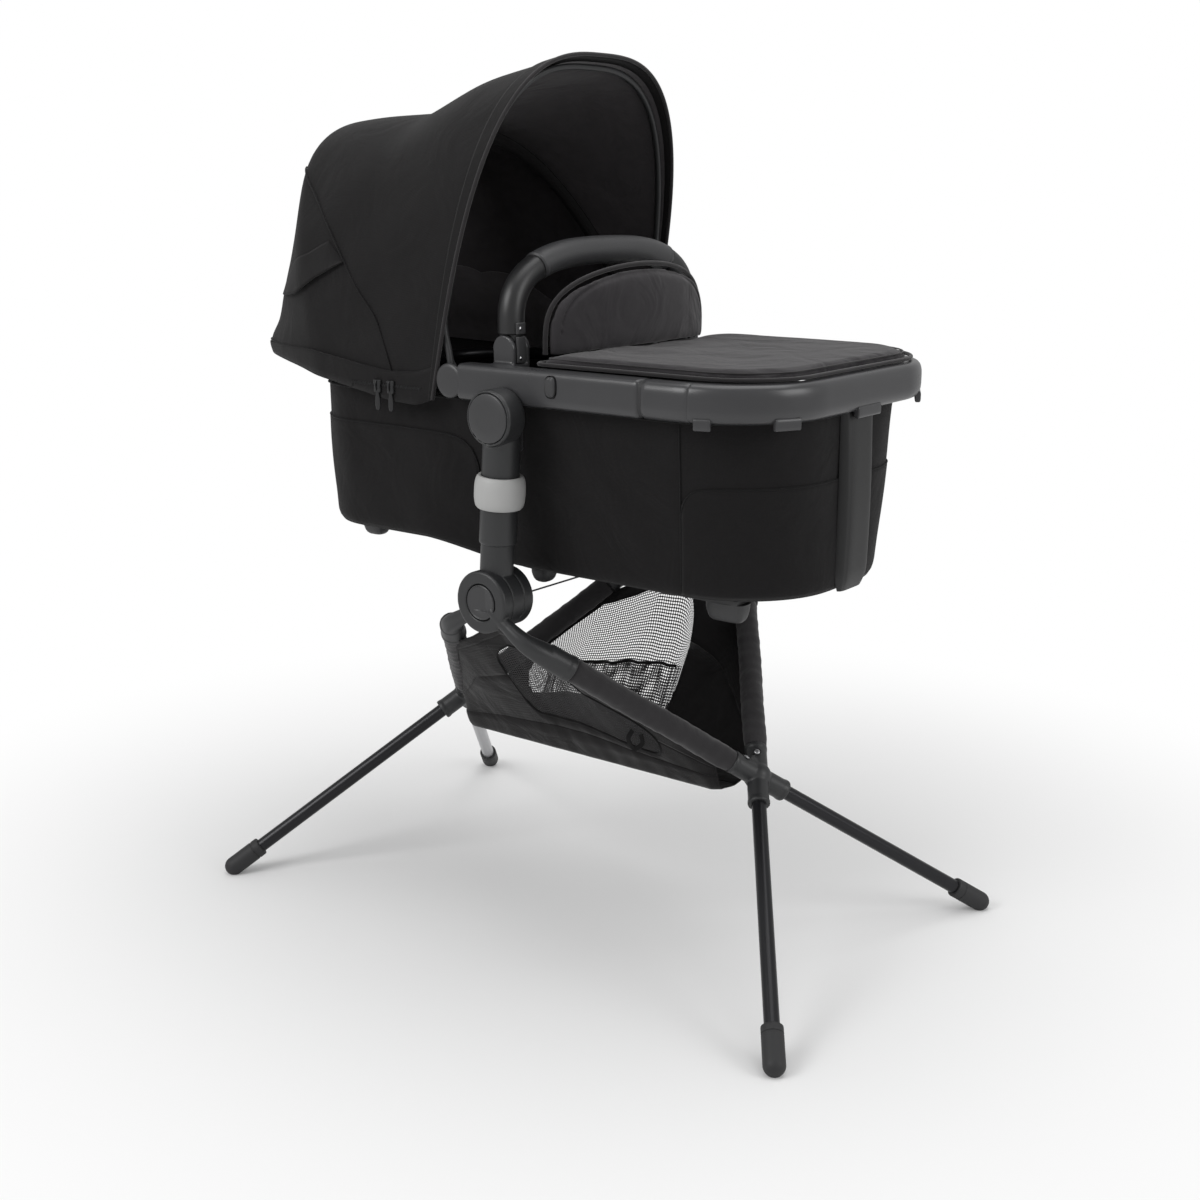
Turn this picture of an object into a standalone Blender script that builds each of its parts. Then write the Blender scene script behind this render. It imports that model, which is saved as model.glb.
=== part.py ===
"""Carrycot with a folding hood on a folding four-legged stand with a fabric basket.

Frame: metres, +Z up, +X towards the foot end of the carrycot, +Y to the left of a person who
stands at the head end. The origin lies on the floor under the middle of the four feet.

The stand: two leaning uprights each end in a fold drum. A front arm and a rear arm turn in
each drum and meet on the middle plane in a moulded cross, from which the legs run on to the
floor. The carrycot hangs by two tongues in pockets at the top of the uprights.
"""

import math

import bmesh
import bpy
from mathutils import Matrix, Vector

# Clearances
SEAT = 0.0003             # between pieces that touch
RUN = 0.0004              # round a piece that slides or turns

# Feet and legs
FRONT_FOOT_X = 0.420
FRONT_FOOT_Y = 0.250
REAR_FOOT_X = -0.424
REAR_FOOT_Y = 0.261
LEG_RADIUS = 0.0088
FOOT_CAP_RADIUS = 0.0125
FOOT_CAP_LENGTH = 0.057
FOOT_FLAT_RADIUS = 0.0070 # flat on the floor under the domed end
FOOT_SOLE = 0.0145        # rubber below the end of the leg
LEG_INSERT = 0.023        # length of leg inside its socket

# Fold drums
DRUM_X = 0.011
DRUM_Z = 0.443
DRUM_RADIUS = 0.0363
DRUM_OUT = 0.0265         # from the upright's axis out to the drum's outer face
FRONT_HEAD_WIDTH = 0.0160
POST_HUB_WIDTH = 0.0200
REAR_HEAD_WIDTH = 0.0164
REAR_HEAD_STEP = 0.0015   # by which the rear head is smaller than the drum
HEAD_EDGE = 0.0020        # rounding of a head's outer edge
PIN_RADIUS = 0.006
LOCK_BUTTON_RADIUS = 0.0235
LOCK_BUTTON_DEPTH = 0.007

# Uprights
UPRIGHT_OUT = 0.0035      # from the rail's outer face out to the upright's axis
UPRIGHT_LEAN = math.radians(4.2)
POST_RADIUS = 0.0192
SLEEVE_RADIUS = 0.0215
SLEEVE_BOTTOM = 0.066     # along the upright, from the drum axis
POST_TOP = 0.140
SLEEVE_BORE_TOP = 0.150
CAP_HEIGHT = 0.2113
CAP_HOUSING_RADIUS = 0.0315
CAP_RADIUS = 0.0275
CAP_THICKNESS = 0.0022
COLLAR_HEIGHT = 0.126     # middle of the collar along the upright
COLLAR_LENGTH = 0.037
COLLAR_RADIUS = 0.029

# Arms and the crosses where they meet
ARM_TUBE_RADIUS = 0.0100
ARM_SLEEVE_RADIUS = 0.0145
ARM_INSERT = 0.020
FRONT_CROSS = Vector((0.236, 0.0, 0.214))
REAR_CROSS = Vector((-0.232, 0.0, 0.228))
FRONT_NECK_END = Vector((0.0836, 0.2040, 0.3830))
REAR_NECK_END = Vector((-0.0934, 0.1752, 0.3850))
NECK_SOCKET_RADIUS = 0.0150
NECK_SOCKET_LENGTH = 0.030
CROSS_SOCKET_RADIUS = 0.0128
SOCKET_STEP = 0.0006      # by which an arm socket is wider than a leg socket
ARM_FLOOR = 0.0020        # from the cross's round body to the end of an arm's bore
CROSS_SOCKET_LENGTH = 0.042   # from the middle of a cross to the end of its arm socket
LEG_SOCKET_LENGTH = 0.042     # the same for a leg socket
CROSS_BODY_RADIUS = 0.0170
CROSS_WEB_RADIUS = 0.0115   # between the two upper sockets
CROSS_WEB_LENGTH = 0.0235
SNAP_RADIUS = 0.0036
SNAP_DISTANCE = 0.026     # from the middle of the cross along the arm
SNAP_TRAVEL = 0.0022      # room under a button before it meets the arm
SNAP_PROUD = 0.0022

# Sync cable between the drums
CABLE_RADIUS = 0.0011
CABLE_AHEAD = 0.022
CABLE_ABOVE = 0.004

# Basket
FABRIC = 0.0024
BASKET_HANG = 0.0006      # between an arm's cover and the basket's rim
BASKET_FLOOR_Z = 0.195
BASKET_FLOOR_HALF = 0.046
BASKET_REAR_X = -0.196
BASKET_FRONT_X = 0.204

# Carrycot rail
RAIL_HALF = 0.195         # middle of the rail's width, from the middle plane
RAIL_WIDTH = 0.030
RAIL_HEIGHT = 0.041
RAIL_ABOVE_CAP = 0.0118    # from the cap's middle up to the rail's underside
RAIL_FRONT_X = 0.352
RAIL_CORNER = 0.105
RAIL_SEAM_X = 0.208
RAIL_REAR_X = -0.047
HEAD_TUBE_RADIUS = 0.0080
HEAD_TUBE_START_X = 0.012
HEAD_TUBE_X = -0.318
HEAD_TUBE_CORNER = 0.100
TONGUE_WIDTH = 0.026
TONGUE_THICKNESS = 0.0145
TONGUE_DROP = 0.052
THUMB_BUTTON_X = 0.092
THUMB_BUTTON_WIDTH = 0.0160
THUMB_BUTTON_HEIGHT = 0.024
THUMB_BUTTON_PROUD = 0.0040
HOOK_OUT = 0.0115         # from the rail's middle out to its hooks
HOOK_DROP = 0.0065        # below the rail, and above its underside
HOOK_THICKNESS = 0.007

# Carrycot body
POD_DROP = 0.0014          # from the rail's underside to the top of the body's outside
POD_CLEAR = 0.020          # from the drum's axis up to the underside of the body
POD_FLOOR_RISE = 0.024
POD_RISE_X = -0.075       # middle of the step in the floor
POD_RISE_LENGTH = 0.13
POD_REAR_X = -0.340
POD_FRONT_X = 0.3470
POD_INSET = 0.009          # from the rail's middle in to the outside of the body's top
POD_FLOOR_HALF = 0.151
POD_REAR_WIDEN_SHARE = 0.20      # share by which the floor is wider at the head end
POD_WALL = 0.0050
POD_REAR_CORNER = 0.100
POD_FRONT_CORNER = 0.124
MATTRESS_DEPTH = 0.057     # from the underside of the body to the top of the mattress
MATTRESS_INSET = 0.009
BASE_THICKNESS = 0.0050
BASE_HALF = 0.124
BASE_REAR_X = -0.302
BASE_FRONT_X = 0.280
POD_FOOT_HEIGHT = 0.0155
POD_FOOT_LENGTH = 0.040
POD_FOOT_WIDTH = 0.028
SPINE_WIDTH = 0.060
SPINE_DEPTH = 0.011

# Hood
HOOD_PIVOT_X = -0.0605
HOOD_PIVOT_RISE = 0.022    # above the rail's underside
HOOD_INSET = 0.0020        # from the rail's outer face in to the canopy
HOOD_FABRIC = 0.0026
HOOD_BOW_RADIUS = 0.0040
HOOD_TAB_X = -0.150        # tabs that hold the hem to the head tube
HOOD_TAB_LENGTH = 0.024
HOOD_TAB_THICKNESS = 0.005
BOW_DISC_RADIUS = 0.0115
BOW_DISC_WIDTH = 0.0094
HOOD_PIN_RADIUS = 0.0030
HOOD_EAR_WIDTH = 0.0055
HOOD_REACH = 0.3705        # from the pivot back to the rear hem
HOOD_RISE = 0.3585         # from the pivot up to the front edge's top
BOW_LIFT = 0.055           # height over the pivot where the front bow meets the canopy
BOW_LOW = 0.026            # height over the pivot of the front bow's bend
BOW_SLACK = 0.0022         # between the canopy and the front bow
ZIP_X = -0.1695
ZIP_LENGTH = 0.013
ZIP_HEIGHT = 0.016
ZIP_TAB_LENGTH = 0.024
ZIP_TAB_WIDTH = 0.008
ZIP_THICKNESS = 0.006

# Carry handle
HANDLE_X = 0.002
HANDLE_INSET = 0.026       # from the rail's middle in to the handle's legs
HANDLE_TUBE_RADIUS = 0.0150
HANDLE_RISE = 0.103        # from the pivot to the middle of the tube at the top
HANDLE_PIVOT_RISE = 0.017  # above the rail's top
HANDLE_KNUCKLE_RADIUS = 0.0150
HANDLE_TONGUE_WIDTH = 0.0170
HANDLE_CHEEK = 0.0060
HANDLE_PIN_RADIUS = 0.0030
GRIP_INSET = 0.044         # from the handle's legs in to the grip's ends
HANDLE_SHELF = 0.0080      # bracket under the handle's cheeks, below the rail's top
SHELF_RISE = 0.0008        # the same above it
HANDLE_STRAIGHT = 0.0250  # from the pivot up to where the arch begins

# Apron and wind flap
APRON_REAR_X = 0.048
APRON_FRONT_X = 0.352
APRON_INSET = 0.0085      # from the rail's middle in to the apron's edge
APRON_THICKNESS = 0.0095
FLAP_X = 0.0365
FLAP_HALF = 0.151
FLAP_HEIGHT = 0.106        # above the rail's top
FLAP_THICKNESS = 0.0110
FLAP_BOW = 0.024          # how far the middle stands ahead of the ends

# Sizes that follow from the ones above
RAIL_OUTER = RAIL_HALF + RAIL_WIDTH / 2
UPRIGHT_Y = RAIL_OUTER + UPRIGHT_OUT
DRUM_OUTER_Y = UPRIGHT_Y + DRUM_OUT
APRON_HALF = RAIL_HALF - APRON_INSET
POD_TOP_HALF = RAIL_HALF - POD_INSET
FRONT_HEAD_Y = DRUM_OUTER_Y - FRONT_HEAD_WIDTH
POST_HUB_OUTER = FRONT_HEAD_Y - SEAT
POST_HUB_INNER = POST_HUB_OUTER - POST_HUB_WIDTH
REAR_HEAD_OUTER = POST_HUB_INNER - SEAT
REAR_HEAD_INNER = REAR_HEAD_OUTER - REAR_HEAD_WIDTH
RAIL_BOTTOM = DRUM_Z + CAP_HEIGHT * math.cos(UPRIGHT_LEAN) + RAIL_ABOVE_CAP
RAIL_TOP = RAIL_BOTTOM + RAIL_HEIGHT
RAIL_INNER = RAIL_HALF - RAIL_WIDTH / 2
HOOD_HALF = RAIL_OUTER - HOOD_INSET
HANDLE_HALF = RAIL_HALF - HANDLE_INSET
GRIP_HALF = HANDLE_HALF - GRIP_INSET
POD_TOP_Z = RAIL_BOTTOM - POD_DROP
POD_FLOOR_Z = DRUM_Z + POD_CLEAR
MATTRESS_TOP_Z = POD_FLOOR_Z + MATTRESS_DEPTH
HOOD_PIVOT_Z = RAIL_BOTTOM + HOOD_PIVOT_RISE
HANDLE_PIVOT_Z = RAIL_TOP + HANDLE_PIVOT_RISE
HANDLE_TOP_Z = HANDLE_PIVOT_Z + HANDLE_RISE
FLAP_TOP_Z = RAIL_TOP + FLAP_HEIGHT
DRUM = Vector((DRUM_X, 0.0, DRUM_Z))
FOOT_CENTRE_Z = math.sqrt(FOOT_CAP_RADIUS ** 2 - FOOT_FLAT_RADIUS ** 2)
FRONT_FOOT = Vector((FRONT_FOOT_X, FRONT_FOOT_Y, FOOT_CENTRE_Z))
REAR_FOOT = Vector((REAR_FOOT_X, REAR_FOOT_Y, FOOT_CENTRE_Z))
SIDES = {"right": -1, "left": 1}
# Rows of a neck from the drum: shares of the way to its end along X, Y and Z, and its radius as
# a share of its socket's.
FRONT_NECK_SHARES = (
    (0.15, 0.0, 0.14, 0.52),
    (0.48, 0.0, 0.42, 0.52),
    (0.78, 0.20, 0.70, 0.72),
    (0.93, 0.60, 0.87, 0.86),
    (1.03, 1.10, 1.04, 0.93),
)
REAR_NECK_SHARES = (
    (0.17, 0.0, 0.16, 0.55),
    (0.60, 0.05, 0.58, 0.58),
    (0.88, 0.40, 0.86, 0.76),
    (1.03, 1.15, 1.04, 0.93),
)
# Ribs of the hood from its front edge to its rear hem: share of the way, then the foot's X, Y
# and Z and the top's X and Z, as shares of the hood's reach, half width and rise.
HOOD_RIB_SHARES = (
    (0.00, -0.069, 1.0000, -0.071, 0.1633, 1.0000),
    (0.16, -0.134, 1.0000, -0.093, -0.1201, 0.9428),
    (0.34, -0.242, 1.0000, -0.088, -0.3900, 0.8438),
    (0.52, -0.404, 1.0000, -0.060, -0.6356, 0.8271),
    (0.68, -0.592, 0.9808, -0.032, -0.7922, 0.8131),
    (0.80, -0.722, 0.9038, -0.010, -0.8462, 0.6179),
    (0.90, -0.984, 0.7019, -0.082, -0.9109, 0.3612),
    (0.97, -1.000, 0.4135, -0.015, -0.9865, 0.1353),
)
REAR_BOW_TOP_SHARES = (-0.463, 0.774)   # X and Z of the rear bow's top, as shares of the reach and rise
HOOKS = ((-72, 0.018), (-28, 0.030), (0, 0.050), (28, 0.030), (72, 0.018))   # angle round the end, length
STRAIGHT_END = 3          # points of a plan outline from its end to the first corner's bend

MODEL = bpy.data.collections.new("carrycot_stand")
TOOLS = bpy.data.collections.new("cutters")

LOOKS = {
    "frame": ((0.030, 0.031, 0.033), 0.42, 0.0),
    "anodised": ((0.022, 0.022, 0.024), 0.30, 0.8),
    "silver": ((0.55, 0.55, 0.56), 0.30, 1.0),
    "collar": ((0.52, 0.52, 0.51), 0.45, 0.0),
    "rubber": ((0.018, 0.018, 0.019), 0.75, 0.0),
    "fabric": ((0.012, 0.012, 0.012), 0.92, 0.0),
    "apron": ((0.022, 0.019, 0.020), 0.90, 0.0),
    "leather": ((0.020, 0.020, 0.021), 0.50, 0.0),
    "steel": ((0.45, 0.46, 0.47), 0.28, 1.0),
    "foam": ((0.30, 0.30, 0.30), 0.95, 0.0),
}


def clear_scene():
    for obj in list(bpy.data.objects):
        bpy.data.objects.remove(obj)
    bpy.context.scene.collection.children.link(MODEL)
    bpy.context.scene.collection.children.link(TOOLS)


def named(obj, name, look):
    """Give a finished piece its name and a Principled material of its own."""
    obj.name = name
    obj.data.name = name
    colour, roughness, metallic = LOOKS[look]
    material = bpy.data.materials.new(name)
    material.use_nodes = True
    shader = material.node_tree.nodes["Principled BSDF"]
    shader.inputs["Base Color"].default_value = (*colour, 1.0)
    shader.inputs["Roughness"].default_value = roughness
    shader.inputs["Metallic"].default_value = metallic
    obj.data.materials.clear()
    obj.data.materials.append(material)
    return obj


def mesh_object(bm, name="piece"):
    """Close up a bmesh with its faces outward and put it in the model."""
    bmesh.ops.recalc_face_normals(bm, faces=bm.faces)
    mesh = bpy.data.meshes.new(name)
    bm.to_mesh(mesh)
    bm.free()
    mesh.shade_smooth()
    mesh.set_sharp_from_angle(angle=math.radians(40))
    obj = bpy.data.objects.new(name, mesh)
    MODEL.objects.link(obj)
    return obj


def rod(start, end, radius, end_radius=None, sides=16):
    """A round bar or cone between two points."""
    start, end = Vector(start), Vector(end)
    axis = end - start
    turn = axis.to_track_quat("Z", "Y").to_matrix().to_4x4()
    place = Matrix.Translation((start + end) / 2) @ turn
    bm = bmesh.new()
    bmesh.ops.create_cone(
        bm, cap_ends=True, segments=sides, radius1=radius,
        radius2=radius if end_radius is None else end_radius,
        depth=axis.length, matrix=place,
    )
    return mesh_object(bm)


def cross_bar(x, z, low_y, high_y, side, radius, sides=16):
    """A round bar along Y on one side of the middle plane."""
    return rod((x, side * low_y, z), (x, side * high_y, z), radius, sides=sides)


def block(low, high, edge=0.0, segments=2):
    """A box between two corners, with its edges rounded where edge is given."""
    low, high = Vector(low), Vector(high)
    middle = (low + high) / 2
    size = Vector([abs(a) for a in high - low])
    bm = bmesh.new()
    bmesh.ops.create_cube(bm, size=1.0, matrix=Matrix.Translation(middle) @ Matrix.Diagonal((*size, 1.0)))
    if edge:
        bmesh.ops.bevel(bm, geom=bm.edges[:], offset=edge, segments=segments, profile=0.5, affect="EDGES")
    return mesh_object(bm)


def side_block(x_span, y_span, z_span, side, edge=0.0):
    """A box given by its spans, with Y measured outward from the middle plane."""
    low = (x_span[0], side * y_span[0], z_span[0])
    high = (x_span[1], side * y_span[1], z_span[1])
    return block(low, high, edge)


def turned(profile, start, direction, steps=20):
    """A turned piece: profile rows are (radius, distance along the direction), top to bottom.

    A profile that ends where it starts makes a ring.
    """
    mesh = bpy.data.meshes.new("profile")
    ring = profile[0] == profile[-1]
    rows = profile[:-1] if ring else profile
    edges = [(i, i + 1) for i in range(len(rows) - 1)]
    if ring:
        edges.append((len(rows) - 1, 0))
    mesh.from_pydata([(radius, 0.0, height) for radius, height in rows], edges, [])
    obj = bpy.data.objects.new("turned", mesh)
    MODEL.objects.link(obj)
    screw = obj.modifiers.new("turn", "SCREW")
    screw.steps = steps
    screw.render_steps = steps
    screw.use_merge_vertices = True
    screw.merge_threshold = 0.00005
    direction = Vector(direction)
    turn = direction.to_track_quat("Z", "Y").to_matrix().to_4x4()
    obj.matrix_world = Matrix.Translation(Vector(start)) @ turn
    return obj


def baked(obj, name="piece"):
    """Turn a curve or a piece with modifiers into a plain welded mesh in world space."""
    bpy.context.view_layer.update()
    shape = obj.evaluated_get(bpy.context.evaluated_depsgraph_get())
    mesh = bpy.data.meshes.new_from_object(shape)
    mesh.transform(obj.matrix_world)
    bm = bmesh.new()
    bm.from_mesh(mesh)
    bmesh.ops.remove_doubles(bm, verts=bm.verts, dist=0.00002)
    bpy.data.objects.remove(obj)
    bpy.data.meshes.remove(mesh)
    return mesh_object(bm, name)


def swept(points, radii, resolution=2, section=None):
    """A bar along points, round with a radius at each point, or with a given section curve."""
    curve = bpy.data.curves.new("path", "CURVE")
    curve.dimensions = "3D" if section is None else "2D"
    curve.use_fill_caps = True
    if section is None:
        curve.bevel_depth = 1.0
        curve.bevel_resolution = resolution
    else:
        curve.bevel_mode = "OBJECT"
        curve.bevel_object = section
        curve.fill_mode = "NONE"
    line = curve.splines.new("POLY")
    line.points.add(len(points) - 1)
    for point, place, radius in zip(line.points, points, radii):
        point.co = (*place, 1.0)
        point.radius = radius
    obj = bpy.data.objects.new("swept", curve)
    MODEL.objects.link(obj)
    return baked(obj)


def section_curve(width, height, power, count=16):
    """A closed rounded section, |x/a|^p + |y/b|^p = 1, for a swept rail."""
    curve = bpy.data.curves.new("section", "CURVE")
    line = curve.splines.new("POLY")
    line.points.add(count - 1)
    for index, point in enumerate(line.points):
        angle = math.tau * index / count
        x = math.copysign(abs(math.cos(angle)) ** (2 / power), math.cos(angle))
        y = math.copysign(abs(math.sin(angle)) ** (2 / power), math.sin(angle))
        point.co = (x * width / 2, y * height / 2, 0.0, 1.0)
    line.use_cyclic_u = True
    obj = bpy.data.objects.new("section", curve)
    TOOLS.objects.link(obj)
    obj.hide_render = True
    return obj


def combine(obj, tools, operation):
    """Add or cut tools with Boolean modifiers; the tools go to the cutters' collection."""
    for tool in tools:
        step = obj.modifiers.new(operation.lower(), "BOOLEAN")
        step.operation = operation
        step.object = tool
        MODEL.objects.unlink(tool)
        TOOLS.objects.link(tool)
        tool.hide_render = True
        tool.display_type = "WIRE"
    return obj


def cut(obj, *tools):
    return combine(obj, tools, "DIFFERENCE")


def unite(obj, *tools):
    return combine(obj, tools, "UNION")


def loft(rings, closed_rows=True, caps=True):
    """Faces between rings of equal length; caps close the first and last ring."""
    bm = bmesh.new()
    rows = [[bm.verts.new(point) for point in ring] for ring in rings]
    for upper, lower in zip(rows, rows[1:]):
        count = len(upper)
        for i in range(count if closed_rows else count - 1):
            j = (i + 1) % count
            bm.faces.new((upper[i], upper[j], lower[j], lower[i]))
    if caps:
        bm.faces.new(rows[0])
        bm.faces.new(rows[-1])
    return bm


def at_side(point, side):
    """A point given outward from the middle plane, on one side of it."""
    return Vector((point[0], side * point[1], point[2]))


def along_upright(side, height, out=UPRIGHT_Y, ahead=0.0):
    """A point at a height along the leaning upright, out from the middle plane."""
    sine, cosine = math.sin(UPRIGHT_LEAN), math.cos(UPRIGHT_LEAN)
    x = DRUM_X + height * sine + ahead * cosine
    z = DRUM_Z + height * cosine - ahead * sine
    return Vector((x, side * out, z))


def upright(name, side):
    """Lower post with its drum hub, upper sleeve with the cap housing, cap disc and collar."""
    post = rod(along_upright(side, DRUM_RADIUS + 0.004), along_upright(side, POST_TOP), POST_RADIUS, sides=18)
    hub = cross_bar(DRUM_X, DRUM_Z, POST_HUB_INNER, POST_HUB_OUTER, side, DRUM_RADIUS - SEAT, 24)
    web_middle = (POST_HUB_INNER + POST_HUB_OUTER) / 2
    half_width = POST_RADIUS - 0.002
    web = block(
        (-half_width, side * POST_HUB_INNER, 0.0),
        (half_width, side * POST_HUB_OUTER, DRUM_RADIUS + 0.012),
    )
    web.matrix_world = Matrix.Translation(DRUM) @ Matrix.Rotation(UPRIGHT_LEAN, 4, "Y")
    bore = cross_bar(DRUM_X, DRUM_Z, web_middle - 0.02, web_middle + 0.02, side, PIN_RADIUS + RUN)
    unite(post, hub, web)
    cut(post, bore)
    named(post, f"upright_post_{name}", "frame")

    sleeve = rod(
        along_upright(side, SLEEVE_BOTTOM),
        along_upright(side, CAP_HEIGHT + 0.02), SLEEVE_RADIUS, sides=18,
    )
    cap_at = along_upright(side, CAP_HEIGHT)
    housing_profile = [
        (0.0, DRUM_OUTER_Y - CAP_THICKNESS),
        (CAP_RADIUS + RUN, DRUM_OUTER_Y - CAP_THICKNESS),
        (CAP_RADIUS + RUN, DRUM_OUTER_Y),
        (CAP_HOUSING_RADIUS - 0.0025, DRUM_OUTER_Y),
        (CAP_HOUSING_RADIUS, DRUM_OUTER_Y - 0.0025),
        (CAP_HOUSING_RADIUS, RAIL_OUTER + 0.003),
        (CAP_HOUSING_RADIUS - 0.002, RAIL_OUTER + RUN),
        (0.0, RAIL_OUTER + RUN),
    ]
    housing = turned(housing_profile, (cap_at.x, 0.0, cap_at.z), (0.0, side, 0.0), steps=24)
    above = RAIL_TOP + RAIL_HEIGHT
    rail_room = side_block(
        (cap_at.x - 2 * CAP_HOUSING_RADIUS, cap_at.x + 2 * CAP_HOUSING_RADIUS),
        (RAIL_INNER - RAIL_WIDTH, RAIL_OUTER + RUN), (RAIL_BOTTOM - SEAT, above), side,
    )
    bore = rod(along_upright(side, 0.0), along_upright(side, SLEEVE_BORE_TOP), POST_RADIUS + RUN, sides=18)
    pocket = side_block(
        (cap_at.x - TONGUE_WIDTH / 2 - RUN, cap_at.x + TONGUE_WIDTH / 2 + RUN),
        (UPRIGHT_Y - 2 * SLEEVE_RADIUS, UPRIGHT_Y - SLEEVE_RADIUS + TONGUE_THICKNESS + RUN),
        (RAIL_BOTTOM - TONGUE_DROP - RUN, above), side,
    )
    unite(sleeve, housing)
    cut(sleeve, rail_room, bore, pocket)
    named(sleeve, f"upright_sleeve_{name}", "frame")

    cap_profile = [
        (0.0, DRUM_OUTER_Y + 0.0008),
        (CAP_RADIUS - 0.0015, DRUM_OUTER_Y + 0.0006),
        (CAP_RADIUS, DRUM_OUTER_Y - 0.0004),
        (CAP_RADIUS, DRUM_OUTER_Y - CAP_THICKNESS + SEAT),
        (0.0, DRUM_OUTER_Y - CAP_THICKNESS + SEAT),
    ]
    cap = turned(cap_profile, (cap_at.x, 0.0, cap_at.z), (0.0, side, 0.0), steps=24)
    named(cap, f"upright_cap_{name}", "frame")

    inner = SLEEVE_RADIUS + RUN
    half = COLLAR_LENGTH / 2
    collar_profile = [
        (inner, half),
        (COLLAR_RADIUS - 0.0030, half),
        (COLLAR_RADIUS - 0.0008, half * 0.6),
        (COLLAR_RADIUS, 0.0),
        (COLLAR_RADIUS - 0.0008, -half * 0.6),
        (COLLAR_RADIUS - 0.0030, -half),
        (inner, -half),
        (inner, half),
    ]
    axis = along_upright(side, 1.0) - along_upright(side, 0.0)
    collar = turned(collar_profile, along_upright(side, COLLAR_HEIGHT), axis, steps=20)
    named(collar, f"release_collar_{name}", "collar")


def pin_and_button(name, side):
    """Hinge pin through the drum and the round lock button in its outer face."""
    button_floor = DRUM_OUTER_Y - LOCK_BUTTON_DEPTH
    pin = cross_bar(
        DRUM_X, DRUM_Z, REAR_HEAD_INNER + 0.001, button_floor - 0.0035, side, PIN_RADIUS,
    )
    named(pin, f"drum_pin_{name}", "steel")
    button_profile = [
        (0.0, DRUM_OUTER_Y - 0.0030),
        (LOCK_BUTTON_RADIUS * 0.5, DRUM_OUTER_Y - 0.0022),
        (LOCK_BUTTON_RADIUS - 0.0012, DRUM_OUTER_Y + 0.0002),
        (LOCK_BUTTON_RADIUS, DRUM_OUTER_Y - 0.0006),
        (LOCK_BUTTON_RADIUS, button_floor + 0.0025),
        (0.0, button_floor + 0.0025),
    ]
    button = turned(button_profile, DRUM, (0.0, side, 0.0), steps=28)
    named(button, f"lock_button_{name}", "frame")


def neck_path(end, head_middle, rows, side):
    """Bar from the drum to the end of a neck: points and radii.

    Each row holds the shares of the way along X, Y and Z and the share of the socket's radius.
    """
    start = Vector((DRUM_X, head_middle, DRUM_Z))
    points = [start + Vector([part * gap for part, gap in zip(row, end - start)]) for row in rows]
    return [at_side(point, side) for point in points], [row[3] * NECK_SOCKET_RADIUS for row in rows]


def arm(kind, name, side, end, cross, head_span, neck):
    """Head in the drum, curved neck with a socket, tube and fabric sleeve down to the cross."""
    low_y, high_y = head_span
    end_at = at_side(end, side)
    run = (cross - end_at).normalized()
    head_radius = DRUM_RADIUS if kind == "front" else DRUM_RADIUS - REAR_HEAD_STEP
    head_profile = [
        (0.0, high_y),
        (head_radius - HEAD_EDGE, high_y),
        (head_radius, high_y - HEAD_EDGE),
        (head_radius, low_y),
        (0.0, low_y),
    ]
    head = turned(head_profile, DRUM, (0.0, side, 0.0), steps=24)
    neck_bar = swept(*neck_path(end, (low_y + high_y) / 2, neck, side))
    socket = rod(end_at - run * NECK_SOCKET_RADIUS * 0.4, end_at + run * NECK_SOCKET_LENGTH, NECK_SOCKET_RADIUS)
    bore = rod(
        end_at + run * (NECK_SOCKET_LENGTH - ARM_INSERT), end_at + run * NECK_SOCKET_LENGTH * 2,
        ARM_TUBE_RADIUS + RUN,
    )
    pin_hole = cross_bar(DRUM_X, DRUM_Z, low_y - HEAD_EDGE, high_y + HEAD_EDGE, side, PIN_RADIUS + RUN)
    unite(head, neck_bar, socket)
    cut(head, bore, pin_hole)
    if kind == "front":
        seat = cross_bar(
            DRUM_X, DRUM_Z, DRUM_OUTER_Y - LOCK_BUTTON_DEPTH, DRUM_OUTER_Y + HEAD_EDGE, side,
            LOCK_BUTTON_RADIUS + RUN, 28,
        )
        cut(head, seat)
    named(head, f"{kind}_arm_head_{name}", "frame")

    tube_start = end_at + run * (NECK_SOCKET_LENGTH - ARM_INSERT + SEAT)
    tube_end = cross - run * (CROSS_BODY_RADIUS + ARM_FLOOR + SEAT)
    tube = rod(tube_start, tube_end, ARM_TUBE_RADIUS)
    named(tube, f"{kind}_arm_tube_{name}", "anodised")
    sleeve_start = end_at + run * (NECK_SOCKET_LENGTH + SEAT)
    sleeve_end = cross - run * (CROSS_SOCKET_LENGTH + SEAT)
    sleeve_length = (sleeve_end - sleeve_start).length
    inner = ARM_TUBE_RADIUS + SEAT
    sleeve_profile = [
        (inner, sleeve_length),
        (ARM_SLEEVE_RADIUS - 0.0012, sleeve_length),
        (ARM_SLEEVE_RADIUS, sleeve_length - 0.004),
        (ARM_SLEEVE_RADIUS, 0.004),
        (ARM_SLEEVE_RADIUS - 0.0012, 0.0),
        (inner, 0.0),
        (inner, sleeve_length),
    ]
    fabric = turned(sleeve_profile, sleeve_start, run, steps=16)
    named(fabric, f"{kind}_arm_cover_{name}", "fabric")


def leg_direction(centre, foot, side):
    """Unit vector from a cross to the middle of a foot's domed end."""
    return (at_side(foot, side) - centre).normalized()


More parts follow.
